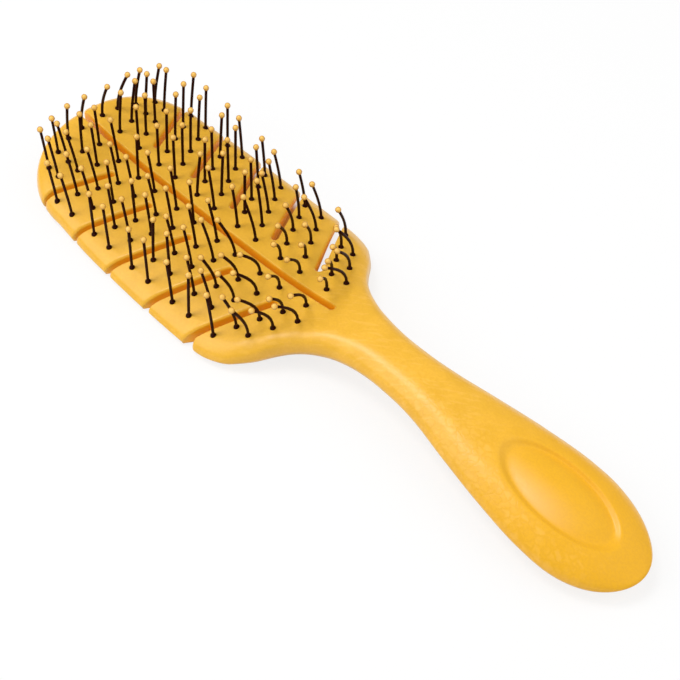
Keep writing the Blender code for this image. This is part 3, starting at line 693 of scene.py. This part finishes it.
# %% Front of the shell
FRONT_TURNS, CELL = 9, 1.25
HOLE_RADIUS, HOLE_SIDES, HOLE_CLEAR = 0.98, 12, 0.8
HOLE_ROWS = ((0.2, 0), (0, 0), (-0.1, 0.12), (-0.1, 1))
SLOT_ROUND, RIM_ROUND, MOUTH_SHADE, MOUTH_FADE = 0.85, 1, 0.25, 7
WHOLE_BOX, HEAD_BOX = (-0.8, -35.2, 231.2, 35.2), (-0.8, -35.2, 124, 35.2)
inner_line = whole_line((0.95, 0.14, 0.45, 1), RIM_ROUND, 0.6)
hold_line = whole_line((1.2, 0.36, 0.67, 1), RIM_ROUND + 0.2, 0.5)
is_inside = signed_distance_test(inner_line, hold_line)


def edge_drop(x, y, rimness):
    """How far the rounded edge goes down: to mid height at the rim, a little in the slots."""
    top, middle, _ = heights(x, y)
    return rimness * (top - middle) + (1 - rimness) * SLOT_ROUND


def between(first, second, share):
    """Place on the way from one line's point to another's."""
    return first[0] + (second[0] - first[0]) * share, first[1] + (second[1] - first[1]) * share


def lifted(surface, x, y, rise=0):
    """Point on a surface over (x, y), or some way above it."""
    return Vector((x, y, surface(x, y) + rise))


def front_edge(column, row):
    if row > FRONT_TURNS:
        return lifted(front, *hold_line[column][:2])
    turn = QUARTER * row / FRONT_TURNS
    x, y = between(outer_line[column], inner_line[column], 1 - cos(turn))
    return lifted(front, x, y, -edge_drop(*outer_line[column]) * (1 - sin(turn)))


def hole_wall(foot):
    def place(column, row):
        radius, turn = HOLE_RADIUS + HOLE_ROWS[row][0], 2 * pi * column / HOLE_SIDES
        x, y = foot[0] + radius * cos(turn), foot[1] + radius * sin(turn)
        return lifted(front, x, y, -HOLE_ROWS[row][1])

    return place


def thumb_wall(column, row):
    share, depth = THUMB_ROWS[row]
    return lifted(front, *thumb_place(2 * pi * column / RING_SIDES, share), -depth)


def in_slot(column):
    """Share by which a point of the line lies in a slot, fading towards the mouth: the mask of the
    painted orange light in the slots.
    """
    x, y, rimness = outer_line[column]
    fade = min(1, MOUTH_SHADE + rim_gap(x, y) / MOUTH_FADE) if x > 2 * LIP_RADIUS else 1
    return (1 - rimness) * fade


def front_shade(column, row):
    return in_slot(column) * max(0, 1 - row / FRONT_TURNS)


shell = bmesh.new()
shell.verts.layers.float.new("slot_depth")
_, brink = ribbon(shell, len(outer_line), FRONT_TURNS + 1, front_edge, front_shade)
borders = [brink]
for foot in FEET:
    hole_top, hole_bottom = ribbon(shell, HOLE_SIDES, len(HOLE_ROWS) - 1, hole_wall(foot))
    bmesh.ops.edgeloop_fill(shell, edges=border_edges(hole_bottom))
    borders.append(hole_top)
borders += ribbon(shell, RING_SIDES, len(THUMB_ROWS) - 1, thumb_wall)


def on_front(x, y):
    if not is_inside(x, y) or RING_START - 0.02 < thumb_shares(x, y)[1] < RING_END:
        return False
    return all((x - a) ** 2 + (y - b) ** 2 > (HOLE_RADIUS + HOLE_CLEAR) ** 2 for a, b in FEET)


def front_level(x, y):
    """The front, and inside the step the floor of the thumb rest."""
    share, ring = thumb_shares(x, y)
    return front(x, y) - (thumb_depth(share, ring) if ring < RING_START else 0)


pave(shell, borders, on_front, CELL, WHOLE_BOX, front_level)
print("front faces", len(shell.faces))

# %% [markdown]
# The other half of the shell starts from the same outline, goes straight down the slots' walls and
# is rolled in under the back, where a narrow groove parts it from the cover that is let into it.
# The two halves are then joined along the outline.

# %% Line of the cover
COVER_END, COVER_RUN, COVER_STEPS = 123, 20, 26
COVER_SLOT_GAP, COVER_RIM_GAP = 1.6, 3.6


def cover_tail(place, margin):
    """The cover closes in a flat curve across the shoulder."""
    end = COVER_END - margin
    line = []
    for turn in turns(QUARTER, COVER_STEPS)[1:]:
        x = place + (end - place) * sin(turn)
        share = max(0, 1 - (end - x) / COVER_RUN)
        line.append((x, rim(x, margin) * arch(share, 2.5), 1))
    return line


def cover_line(inset):
    gap = COVER_SLOT_GAP + inset
    return whole_line((gap, gap, gap, 1), COVER_RIM_GAP + inset, 0.45, cover_tail)


print("points round the cover", len(cover_line(0)))

# %% Back of the shell
RIGHT_WALL, LEFT_WALL, WALL_SHARE = 3.6, 1.8, 0.3
SLOT_FLARE, RIM_UNDER, BACK_TURNS, GROOVE_DEPTH = 1.2, 3.2, 6, 0.7
BACK_CELL, SEAT_CELL, JOIN_DISTANCE = 2.4, 3.2, 0.012
under_line = whole_line((SLOT_FLARE, SLOT_FLARE, 0.8, 0.9), RIM_UNDER, 0.5,
                        left_margins=(SLOT_FLARE, SLOT_FLARE, 0.8, 0.15))
seat_line = cover_line(0)
is_under = signed_distance_test(outer_line, under_line)
is_cover = signed_distance_test(cover_line(-0.5), seat_line)


def back_edge(column, row):
    """Rounded in under the rim; in the slots straight down at first, then flared to the back."""
    x, y, rimness = outer_line[column]
    top, middle, low = heights(x, y)
    start = top - edge_drop(x, y, rimness)
    if row == 0:
        return Vector((x, y, start))
    share = (row - 1) / BACK_TURNS
    turn = QUARTER * share
    wall = RIGHT_WALL if y < 2 * MIDRIB_HALF else LEFT_WALL
    rise = rimness * (middle - low)
    rise += (1 - rimness) * max(WALL_SHARE * (start - low), start - low - wall)
    inwards = rimness * (1 - cos(turn)) + (1 - rimness) * share
    x, y = between(outer_line[column], under_line[column], inwards)
    return lifted(back, x, y, rise * (rimness * (1 - sin(turn)) + (1 - rimness) * (1 - share)))


def seat_wall(column, row):
    return lifted(back, *seat_line[column][:2], GROOVE_DEPTH * row)


def back_shade(column, row):
    return in_slot(column) * (1 + min(row, 1))


underside = bmesh.new()
underside.verts.layers.float.new("slot_depth")
_, under_brink = ribbon(underside, len(outer_line), BACK_TURNS + 1, back_edge, back_shade)
seat_brink, seat_floor = ribbon(underside, len(seat_line), 1, seat_wall)


def on_back(x, y):
    return is_under(x, y) and not is_cover(x, y)


pave(underside, [under_brink, seat_brink], on_back, BACK_CELL, WHOLE_BOX, back)
pave(underside, [seat_floor], is_cover, SEAT_CELL, HEAD_BOX, lambda x, y: back(x, y) + GROOVE_DEPTH)
half_mesh = mesh_from(underside, "underside")
shell.from_mesh(half_mesh)
bpy.data.meshes.remove(half_mesh)
bmesh.ops.remove_doubles(shell, verts=shell.verts, dist=JOIN_DISTANCE)
bmesh.ops.recalc_face_normals(shell, faces=shell.faces)
print("open edges of the shell", sum(edge.is_boundary for edge in shell.edges))

# %% [markdown]
# ## Finishes
# The plastic is one warm yellow with a satin surface. Its shared effects are node groups, each read
# from the object's own coordinates: a fine grain, the faint scales moulded round the thumb rest and
# the wavy streaks over the neck. In the slots, light passes from wall to wall and comes out orange;
# this orange light is painted on, with a painted glow, so the shell's mesh says how deep in a slot
# each point lies.

# %% Node helpers
WHITE, BLACK = (1, 1, 1, 1), (0, 0, 0, 1)


def add_node(tree, kind, inputs=None, **settings):
    """New node with its settings, and with each input either linked or set."""
    made = tree.nodes.new("ShaderNode" + kind)
    for key, value in settings.items():
        setattr(made, key, value)
    for key, value in (inputs or {}).items():
        if isinstance(value, bpy.types.NodeSocket):
            tree.links.new(value, made.inputs[key])
        else:
            made.inputs[key].default_value = value
    return made


def new_group(name, inputs, outputs):
    """Node group with float outputs, and with vector inputs where no default is given."""
    tree = bpy.data.node_groups.new(name, "ShaderNodeTree")
    for label, default in inputs.items():
        kind = "NodeSocketVector" if default is None else "NodeSocketFloat"
        socket = tree.interface.new_socket(label, in_out="INPUT", socket_type=kind)
        if default is not None:
            socket.default_value = default
    for label in outputs:
        tree.interface.new_socket(label, in_out="OUTPUT", socket_type="NodeSocketFloat")
    return tree, tree.nodes.new("NodeGroupInput").outputs, tree.nodes.new("NodeGroupOutput").inputs


def use_group(tree, group, inputs):
    """Outputs of a group that is placed in a tree."""
    return add_node(tree, "Group", inputs, node_tree=group).outputs


def worked_out(tree, operation, *values):
    """Result of a Math node."""
    return add_node(tree, "Math", dict(enumerate(values)), operation=operation).outputs["Value"]


def product(tree, first, *others):
    """Product of masks and numbers."""
    for other in others:
        first = worked_out(tree, "MULTIPLY", first, other)
    return first


def ramped(tree, value, low, high):
    """Smooth step of a value from low (0) to high (1)."""
    inputs = {"Value": value, "From Min": low, "From Max": high}
    return add_node(tree, "MapRange", inputs, interpolation_type="SMOOTHSTEP").outputs["Result"]


def tinted(tree, share, below, above):
    """Colour between two others."""
    inputs = {"Factor": share, "A": below, "B": above}
    return add_node(tree, "Mix", inputs, data_type="RGBA").outputs["Result"]


def noise(tree, place, scale, detail, distortion=0):
    inputs = {"Vector": place, "Scale": scale, "Detail": detail, "Distortion": distortion}
    return add_node(tree, "TexNoise", inputs).outputs


print("node helpers ready")

# %% Shared effects
tree, given, result = new_group("fine_grain", {"Place": None, "Size": 0.001}, ["Grain", "Cloud"])
per_metre = worked_out(tree, "DIVIDE", 1, given["Size"])
broad_scale = product(tree, per_metre, 0.09)
tree.links.new(noise(tree, given["Place"], per_metre, 3)["Fac"], result["Grain"])
tree.links.new(noise(tree, given["Place"], broad_scale, 2)["Fac"], result["Cloud"])
grain_group = tree

tree, given, result = new_group("moulded_scales", {"Place": None}, ["Patch", "Line"])
inputs = {"Vector": given["Place"], "Scale": (400, 560, 200)}
place = add_node(tree, "Mapping", inputs).outputs["Vector"]
inputs = {0: noise(tree, place, 1.3, 2)["Color"], 1: (1.1, 1.1, 0), 2: place}
bent = add_node(tree, "VectorMath", inputs, operation="MULTIPLY_ADD")
inputs = {"Vector": bent.outputs["Vector"], "Scale": 1}
cells = add_node(tree, "TexVoronoi", inputs).outputs["Color"]
shine = add_node(tree, "SeparateColor", {"Color": cells})
edge = add_node(tree, "TexVoronoi", inputs, feature="DISTANCE_TO_EDGE").outputs["Distance"]
tree.links.new(product(tree, ramped(tree, edge, 0.05, 0.3), shine.outputs["Red"]), result["Patch"])
tree.links.new(ramped(tree, edge, 0.14, 0.02), result["Line"])
scales_group = tree

tree, given, result = new_group("wavy_streaks", {"Place": None}, ["Streak"])
inputs = {"Vector": given["Place"], "Angle": -0.6}
turned = add_node(tree, "VectorRotate", inputs, rotation_type="Z_AXIS")
inputs = {"Vector": turned.outputs["Vector"], "Scale": (220, 1200, 300)}
waves = noise(tree, add_node(tree, "Mapping", inputs).outputs["Vector"], 1, 2, 0.6)["Fac"]
tree.links.new(ramped(tree, waves, 0.52, 0.68), result["Streak"])
streaks_group = tree
print("node groups", [group.name for group in bpy.data.node_groups])

# %% Parts of a finish
def new_finish(name):
    """New material with its tree, its shader and the object's own coordinates."""
    made = bpy.data.materials.new(name)
    made.use_nodes = True
    tree = made.node_tree
    return made, tree, tree.nodes["Principled BSDF"], add_node(tree, "TexCoord").outputs["Object"]


def turned_away(tree, low, high):
    return ramped(tree, add_node(tree, "LayerWeight").outputs["Facing"], low, high)


def give_surface(tree, shader, colour, wander, roughness, relief, gloss):
    """Colour, a roughness that wanders between two levels, relief and gloss."""
    inputs = {"Value": wander, "To Min": roughness[0], "To Max": roughness[1]}
    rough = add_node(tree, "MapRange", inputs).outputs["Result"]
    inputs = dict(zip(("Height", "Strength", "Distance"), relief))
    bump = add_node(tree, "Bump", inputs).outputs["Normal"]
    for socket, name in ((colour, "Base Color"), (rough, "Roughness"), (bump, "Normal")):
        tree.links.new(socket, shader.inputs[name])
    shader.inputs["Specular IOR Level"].default_value = gloss


print("parts of a finish ready")

# %% Plain yellow
DARKER, LIGHTER = (0.82, 0.445, 0.034, 1), (0.87, 0.475, 0.042, 1)
# The last colour here is a painted sheen where the surface turns away.
END_YELLOW, SPECKLE, PAINTED_EDGE_SHEEN = (0.87, 0.44, 0.01, 1), (0.74, 0.35, 0.03, 1), (0.8, 0.54, 0.28, 1)


def plain_yellow(tree, grain, along):
    """Cloudy yellow, deeper at the handle's end, speckled, and paler where it turns away, a painted
    sheen.
    """
    colour = tinted(tree, ramped(tree, grain["Cloud"], 0.35, 0.65), DARKER, LIGHTER)
    colour = tinted(tree, product(tree, ramped(tree, along, 0.05, 0.085), 0.75), colour, END_YELLOW)
    specks = product(tree, ramped(tree, grain["Grain"], 0.36, 0.64), 0.24)
    colour = tinted(tree, specks, colour, SPECKLE)
    # The pale colour where the surface turns away is a painted sheen.
    return tinted(tree, product(tree, turned_away(tree, 0.5, 0.95), 0.75), colour, PAINTED_EDGE_SHEEN)


print("yellow from", DARKER[:3], "to", LIGHTER[:3])

# %% Marks on the handle
REST_SCALE = (1000 / THUMB_LENGTH, 1000 / THUMB_WIDTH, 0)
REST_SHIFT = (-(NOSE_X + THUMB_X) / THUMB_LENGTH, 0, 0)
# Painted sheen colours: the thumb rest's pale crescent and the scales' pale patches.
PAINTED_SHEEN_COLOUR, SCALE_PAINTED_SHEEN = (1, 0.58, 0.24, 1), (1, 0.6, 0.16, 1)
SCALE_LINE, PALE_STREAK = (0.75, 0.36, 0.01, 1), (1, 0.6, 0.15, 1)
MARK_SHARE, PAINTED_SHEEN_SHARE = 0.2, 0.45


def handle_marks(tree, place, along, across, colour):
    """Painted sheen as a pale crescent in the thumb rest, the moulded scales drawn only on the lit
    side with pale patches of painted sheen, and streaks over the neck.
    Gives the colour with them, and the lines between the scales."""
    inputs = {"Vector": place, "Scale": REST_SCALE, "Location": REST_SHIFT}
    from_rest = add_node(tree, "Mapping", inputs).outputs["Vector"]
    from_rest = add_node(tree, "VectorMath", {0: from_rest}, operation="LENGTH").outputs["Value"]
    # The scales are drawn only on the lit side, and their pale patches are painted sheen.
    lit_side = product(tree, ramped(tree, along, 0.015, 0.04), ramped(tree, across, 0.004, -0.004),
                       ramped(tree, along, 0.114, 0.09), ramped(tree, from_rest, 1.08, 1.2))
    # Painted sheen: a pale crescent on the lit flank of the thumb rest's dome.
    painted_sheen = product(tree, ramped(tree, from_rest, 0.95, 0.8), ramped(tree, across, 0.002, -0.0075),
                     ramped(tree, along, 0.1, 0.08), PAINTED_SHEEN_SHARE)
    on_neck = product(tree, ramped(tree, along, -0.025, 0.005), ramped(tree, along, 0.075, 0.045))
    scales = use_group(tree, scales_group, {"Place": place})
    streak = use_group(tree, streaks_group, {"Place": place})["Streak"]
    line = product(tree, scales["Line"], lit_side)
    for share, tint in (
        (painted_sheen, PAINTED_SHEEN_COLOUR),
        (product(tree, scales["Patch"], lit_side, MARK_SHARE), SCALE_PAINTED_SHEEN),
        (product(tree, line, MARK_SHARE), SCALE_LINE),
        (product(tree, streak, on_neck, MARK_SHARE), PALE_STREAK),
    ):
        colour = tinted(tree, share, colour, tint)
    return colour, line


print("marks for a thumb rest", THUMB_LENGTH, "by", THUMB_WIDTH)

# %% Yellow plastic
# Painted light in the slots: an orange for light passed from wall to wall, and a painted glow.
SLOT_PAINTED_LIGHT, SLOT_PAINTED_GLOW = (0.83, 0.4, 0.008, 1), (0.1, 0.044, 0.001, 1)


def yellow_finish(name, is_shell):
    made, tree, shader, place = new_finish(name)
    grain = use_group(tree, grain_group, {"Place": place, "Size": 0.0007})
    axes = add_node(tree, "SeparateXYZ", {"Vector": place}).outputs
    colour, height = plain_yellow(tree, grain, axes["X"]), grain["Grain"]
    if is_shell:
        colour, line = handle_marks(tree, place, axes["X"], axes["Y"], colour)
        height = worked_out(tree, "MULTIPLY_ADD", line, -0.6, height)
        # Deep in the slots the colour turns to painted orange light, with a painted glow.
        depth = add_node(tree, "Attribute", attribute_name="slot_depth").outputs["Fac"]
        colour = tinted(tree, ramped(tree, depth, 0, 1.3), colour, SLOT_PAINTED_LIGHT)
        glow = tinted(tree, ramped(tree, depth, 0.2, 1.2), BLACK, SLOT_PAINTED_GLOW)
        tree.links.new(glow, shader.inputs["Emission Color"])
        shader.inputs["Emission Strength"].default_value = 1
    give_surface(tree, shader, colour, grain["Cloud"], (0.3, 0.38), (height, 0.35, 0.00008), 0.38)
    return made


shell_finish = yellow_finish("satin_yellow_shell", True)
cover_finish = yellow_finish("satin_yellow_cover", False)
print("yellow finishes ready")

# %% Nylon and beads
def nylon_finish(name, dark, light, roughness, gloss, edge=None):
    """Finish that is grainy between two colours, with another where it turns away, which on the
    beads is painted shade darkening their rims.
    """
    made, tree, shader, place = new_finish(name)
    grain = use_group(tree, grain_group, {"Place": place, "Size": 0.0009})["Grain"]
    colour = tinted(tree, ramped(tree, grain, 0.3, 0.7), dark, light)
    if edge:
        colour = tinted(tree, turned_away(tree, 0.08, 0.7), colour, edge)
    give_surface(tree, shader, colour, grain, roughness, (grain, 0.2, 0.00004), gloss)
    return made


pin_finish = nylon_finish(
    "black_nylon", (0.02, 0.002, 0.001, 1), (0.034, 0.004, 0.001, 1), (0.44, 0.56), 0.08)
# The beads' darker rim colour is painted shade.
bead_finish = nylon_finish(
    "tan_bead", (0.88, 0.5, 0.1, 1), (0.96, 0.6, 0.15, 1), (0.24, 0.36), 0.3, (0.56, 0.25, 0.02, 1))
print("nylon finishes ready")

# %% Place the shell
brush_shell = place_piece(shell, "brush_shell", shell_finish)
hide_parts("front_body")

# %% Back cover
COVER_GAP, COVER_ROUND, COVER_RISE, COVER_TURNS = 0.28, 0.3, 0.6, 3
cover = bmesh.new()
cover_outer, cover_under = cover_line(COVER_GAP), cover_line(COVER_GAP + COVER_ROUND)


def cover_edge(column, row):
    if row > COVER_TURNS:
        return lifted(back, *cover_outer[column][:2], COVER_RISE)
    turn = QUARTER * row / COVER_TURNS
    x, y = between(cover_outer[column], cover_under[column], 1 - sin(turn))
    return lifted(back, x, y, COVER_ROUND * (1 - cos(turn)))


cover_brink, cover_top = ribbon(cover, len(cover_outer), COVER_TURNS + 1, cover_edge)
on_cover = signed_distance_test(cover_outer, cover_under)
pave(cover, [cover_brink], on_cover, BACK_CELL, HEAD_BOX, back)
pave(cover, [cover_top], on_cover, SEAT_CELL, HEAD_BOX, lambda x, y: back(x, y) + COVER_RISE)
bmesh.ops.recalc_face_normals(cover, faces=cover.faces)
back_plate = place_piece(cover, "back_plate", cover_finish)
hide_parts("back_cover")

# %% [markdown]
# ## The pins
# A pin is a ring drawn up along an even bend, from a nub that fills its hole. Its bead is a ball a
# little longer than wide. Every lobe's pins are one piece, and so are its beads, because their
# plastics differ. Each shape is repeated 118 times, so it has few faces.

# %% Leans of the pins
PIN_LENGTH, PIN_RADIUS, PIN_ROOT, PIN_SIDES, NUB_SIDES = 17, 0.48, 0.9, 6, 10
BEAD_RADIUS, BEAD_STRETCH, BEAD_RISE = 0.97, 1.06, 0.82
PIN_STEPS, PIN_PLACES = 40, (3, 7, 12, 18, 25, 32, 40)
NUB = ((0.87, -0.8), (0.87, 0.1), (0.8, 0.34), (0.5, 0.52))
FOOT_TILT, FULL_BEND_REACH, MOST_TURN = 0.6, 6, 2.6
# For each lobe and row, counted from the midrib out: each pin's lean along and across, in tenths of
# a millimetre
LEFT_LEANS = (
    ((-8, -6, 1, -4, -5, -17, 2, -14), (14, -11, 17, -3, 0, -17, 6, -10),
     (45, -6, 36, -11, 23, -17)),
    ((2, 6, -3, -11, -7, -14, -9, -10, 1, -11), (-2, -12, -5, -10, -2, -5, -10, -12, -7, -12)),
    ((-9, -6, -6, -14, 1, -1, -9, -1, -1, 3), (-7, -3, -8, -9, -4, -7, -14, -4, -7, 2)),
    ((-19, -13, -14, -8, -5, -17, 2, 10, 3, 0), (-26, -41, -27, -17, -14, -11, -5, 3, -10, 6)),
    ((-1, -76, -3, -60, -6, -47, -6, -16, -11, -2), (29, -76, -13, -76, -5, -53, -15, -20, -3, 9)),
    ((19, -85, 19, -75, -9, -74, -9, -42, -17, -5), (-7, -85, -5, -77, -6, -55)),
)
RIGHT_LEANS = (
    ((1, 2, 12, -2, 4, 1, 11, 10), (17, 6, 17, 14, 14, 6, 29, 4), (53, -8, 47, 14, 35, 0)),
    ((7, -2, 6, 3, -7, 18, -2, 12, 7, 12), (2, 0, 7, -1, 2, 6, 2, 11, 5, 3)),
    ((6, 13, -2, 7, 2, -2, 0, 10, 1, 1), (-12, -8, 1, 8, -5, 2, -3, 4, -5, -9)),
    ((-11, -10, -1, 1, -2, -3, -6, -6, 0, -16), (-37, -14, -27, 2, -14, -18, -11, -19, -8, -26)),
    ((35, -66, 24, -65, 14, -51, 11, -33, -4, -30),
     (22, -79, 41, -67, 27, -61, -16, -43, -12, -37)),
    ((35, -72, 37, -65, 37, -66, 23, -58, 7, -53), (-9, -88, 9, -74, -15, -65)),
)


def pin_lean(lobe, side, row, column):
    first = 2 * (column - 1 if lobe == 5 and row == 1 else column)
    along, across = (LEFT_LEANS if side < 0 else RIGHT_LEANS)[lobe][row][first:first + 2]
    return along / 10, across / 10


print("lean of a bent pin", pin_lean(5, 1, 0, 2))

# %% One pin
def pin_angles(reach):
    """Angles from upright at even steps up a pin that leans out by reach.
    A pin turns most near its foot, and a pin that hardly leans is simply tilted in its pad."""
    tilt = FOOT_TILT * max(0, 1 - reach / FULL_BEND_REACH)
    steps = range(PIN_STEPS + 1)
    shares = [tilt + (1 - tilt) * (1 - (1 - step / PIN_STEPS) ** 2) for step in steps]
    low, high = 0, MOST_TURN
    for _ in range(30):
        most = (low + high) / 2
        if sum(sin(most * share) for share in shares) / len(shares) * PIN_LENGTH < reach:
            low = most
        else:
            high = most
    return [most * share for share in shares]


def pin_course(x, y, lean):
    """Places and directions up a pin from its foot to its end."""
    reach = hypot(*lean)
    angles = pin_angles(reach)
    towards = Vector((*lean, 0)) / max(reach, 0.001)
    upright = Vector((0, 0, 1))
    place = lifted(front, x, y)
    course = [(place - upright * PIN_ROOT, upright), (place.copy(), upright)]
    for step in range(1, PIN_STEPS + 1):
        angle = (angles[step - 1] + angles[step]) / 2
        place += (upright * cos(angle) + towards * sin(angle)) * PIN_LENGTH / PIN_STEPS
        if step in PIN_PLACES:
            course.append((place.copy(), upright * cos(angles[step]) + towards * sin(angles[step])))
    return course


def shape_matrix(place, direction, radius, stretch=1):
    """Puts a unit shape at a place, upright along a direction."""
    turn = Vector((0, 0, 1)).rotation_difference(direction).to_matrix().to_4x4()
    return Matrix.Translation(place) @ turn @ Matrix.Diagonal((radius, radius, stretch, 1))


def drawn_up(bm, sections, sides):
    """Ring drawn up through sections (matrices of a unit ring), closed at both ends."""
    ring = bmesh.ops.create_circle(bm, segments=sides, radius=1, matrix=sections[0])["verts"]
    edges = list({edge for vert in ring for edge in vert.link_edges})
    bmesh.ops.edgeloop_fill(bm, edges=edges)
    for before, after in zip(sections, sections[1:]):
        grown = bmesh.ops.extrude_edge_only(bm, edges=edges)["geom"]
        verts = [item for item in grown if isinstance(item, bmesh.types.BMVert)]
        edges = [item for item in grown if isinstance(item, bmesh.types.BMEdge)]
        edges = [edge for edge in edges if set(edge.verts) <= set(verts)]
        bmesh.ops.transform(bm, matrix=after @ before.inverted(), verts=verts)
    bmesh.ops.edgeloop_fill(bm, edges=edges)


def add_pin(bm, course):
    foot, upright = course[1]
    nub = [shape_matrix(foot + upright * rise, upright, radius) for radius, rise in NUB]
    shank = [shape_matrix(place, direction, PIN_RADIUS) for place, direction in course]
    drawn_up(bm, nub, NUB_SIDES)
    drawn_up(bm, shank, PIN_SIDES)


def add_bead(bm, course):
    end, direction = course[-1]
    middle = end + direction * BEAD_RADIUS * BEAD_RISE
    matrix = shape_matrix(middle, direction, BEAD_RADIUS, BEAD_RADIUS * BEAD_STRETCH)
    bmesh.ops.create_uvsphere(bm, u_segments=10, v_segments=7, radius=1, matrix=matrix)


print("end of one pin", [round(c, 1) for c in pin_course(60, 10, (1, -6))[-1][0]])

# %% Pins and beads, lobe by lobe
for lobe in range(6):
    for side, name in ((-1, "left"), (1, "right")):
        pins, beads = bmesh.new(), bmesh.new()
        for x, y, row, column in lobe_feet(lobe):
            course = pin_course(x, side * y, pin_lean(lobe, side, row, column))
            add_pin(pins, course)
            add_bead(beads, course)
        bmesh.ops.recalc_face_normals(pins, faces=pins.faces)
        pin_piece = place_piece(pins, f"pins_{name}_{lobe + 1}", pin_finish)
        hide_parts(f"pin_pad_{name}_{lobe + 1}")
        place_piece(beads, f"beads_{name}_{lobe + 1}", bead_finish)

# %% [markdown]
# ## Floor, light and camera
# A plain pale floor, with a painted shadow under the head, brown from bounced orange light, where
# the head's open slots show it. A broad soft lamp stands to the upper left of the picture, a weaker
# one on the other side and a small one above. The camera stands where the photograph was taken from.

# %% Floor
FLOOR_SIZE, FLOOR_GAP = 3, 0.0002
# Painted shadow under the head, brown from bounced orange light.
PAINTED_SHADOW_COLOUR = (0.36, 0.1, 0.01, 1)
sheet = bmesh.new()
bmesh.ops.create_grid(sheet, x_segments=1, y_segments=1, size=FLOOR_SIZE)
bmesh.ops.translate(sheet, verts=sheet.verts, vec=(0, 0, -FLOOR_GAP))
floor = add_object("floor", mesh_from(sheet, "floor"))

pale = bpy.data.materials.new("pale_floor")
pale.use_nodes = True
tree = pale.node_tree
tree.nodes.clear()
place = add_node(tree, "TexCoord").outputs["Object"]
place = add_node(tree, "SeparateXYZ", {"Vector": place}).outputs
reach = worked_out(tree, "MULTIPLY_ADD", worked_out(tree, "ABSOLUTE", place["Y"]), 0.5, place["X"])
# Where the painted shadow lies: under the head, inside its outline.
painted_shadow_mask = product(
    tree, ramped(tree, reach, -0.0175, -0.0235), ramped(tree, place["Y"], -0.029, -0.023),
    ramped(tree, place["Y"], 0.033, 0.028), ramped(tree, place["X"], -0.1, -0.09))
diffuse = add_node(tree, "BsdfDiffuse", {"Color": (0.86, 0.86, 0.86, 1)}).outputs["BSDF"]
inputs = {"Color": tinted(tree, painted_shadow_mask, WHITE, PAINTED_SHADOW_COLOUR), "Strength": 1}
glow = add_node(tree, "Emission", inputs)
soft = add_node(tree, "MixShader", {"Fac": 0.8, 1: diffuse, 2: glow.outputs["Emission"]})
seen = add_node(tree, "LightPath").outputs["Is Camera Ray"]
mix = add_node(tree, "MixShader", {"Fac": seen, 1: diffuse, 2: soft.outputs["Shader"]})
add_node(tree, "OutputMaterial", {"Surface": mix.outputs["Shader"]})
floor.data.materials.append(pale)
print("floor ready")

# %% World and lamps
world = bpy.data.worlds.new("studio")
world.use_nodes = True
bpy.context.scene.world = world
tree = world.node_tree
background = tree.nodes["Background"]
background.inputs["Color"].default_value = WHITE
seen = add_node(tree, "LightPath").outputs
level = add_node(tree, "MapRange", {"Value": seen["Is Glossy Ray"], "To Min": 0.46, "To Max": 0.12})
inputs = {"Factor": seen["Is Camera Ray"], "A": level.outputs["Result"], "B": 1}
level = add_node(tree, "Mix", inputs)
tree.links.new(level.outputs["Result"], background.inputs["Strength"])


def area_lamp(name, place, size, power):
    data = bpy.data.lights.new(name, "AREA")
    data.size, data.energy = size, power
    lamp = add_object(name, data)
    lamp.location = place
    towards = Vector((0, 0, 0.005)) - lamp.location
    lamp.rotation_euler = towards.to_track_quat("-Z", "Y").to_euler()
    return lamp


area_lamp("key", (-0.72, -0.87, 0.85), 0.85, 7.5)
area_lamp("fill", (0.4, 0.3, 0.45), 0.6, 1.45).visible_glossy = False
area_lamp("top", (-0.2, -0.13, 0.65), 0.22, 1.95)
print("lamps", [light.name for light in bpy.data.lights])

# %% Camera
AZIMUTH, ELEVATION, ROLL = radians(38.35), radians(54.01), radians(6.54)
CAMERA_PLACE, LENS = (0.13524, -0.16477, 0.29205), 63.5
camera_data = bpy.data.cameras.new("camera")
camera_data.lens, camera_data.sensor_width, camera_data.clip_start = LENS, 36, 0.01
camera = add_object("camera", camera_data)
turn = Matrix.Rotation(AZIMUTH, 4, "Z") @ Matrix.Rotation(QUARTER - ELEVATION, 4, "X")
camera.matrix_world = Matrix.Translation(CAMERA_PLACE) @ turn @ Matrix.Rotation(ROLL, 4, "Z")
bpy.context.scene.camera = camera
bpy.context.scene.view_settings.view_transform = "Standard"
print("camera at", CAMERA_PLACE)
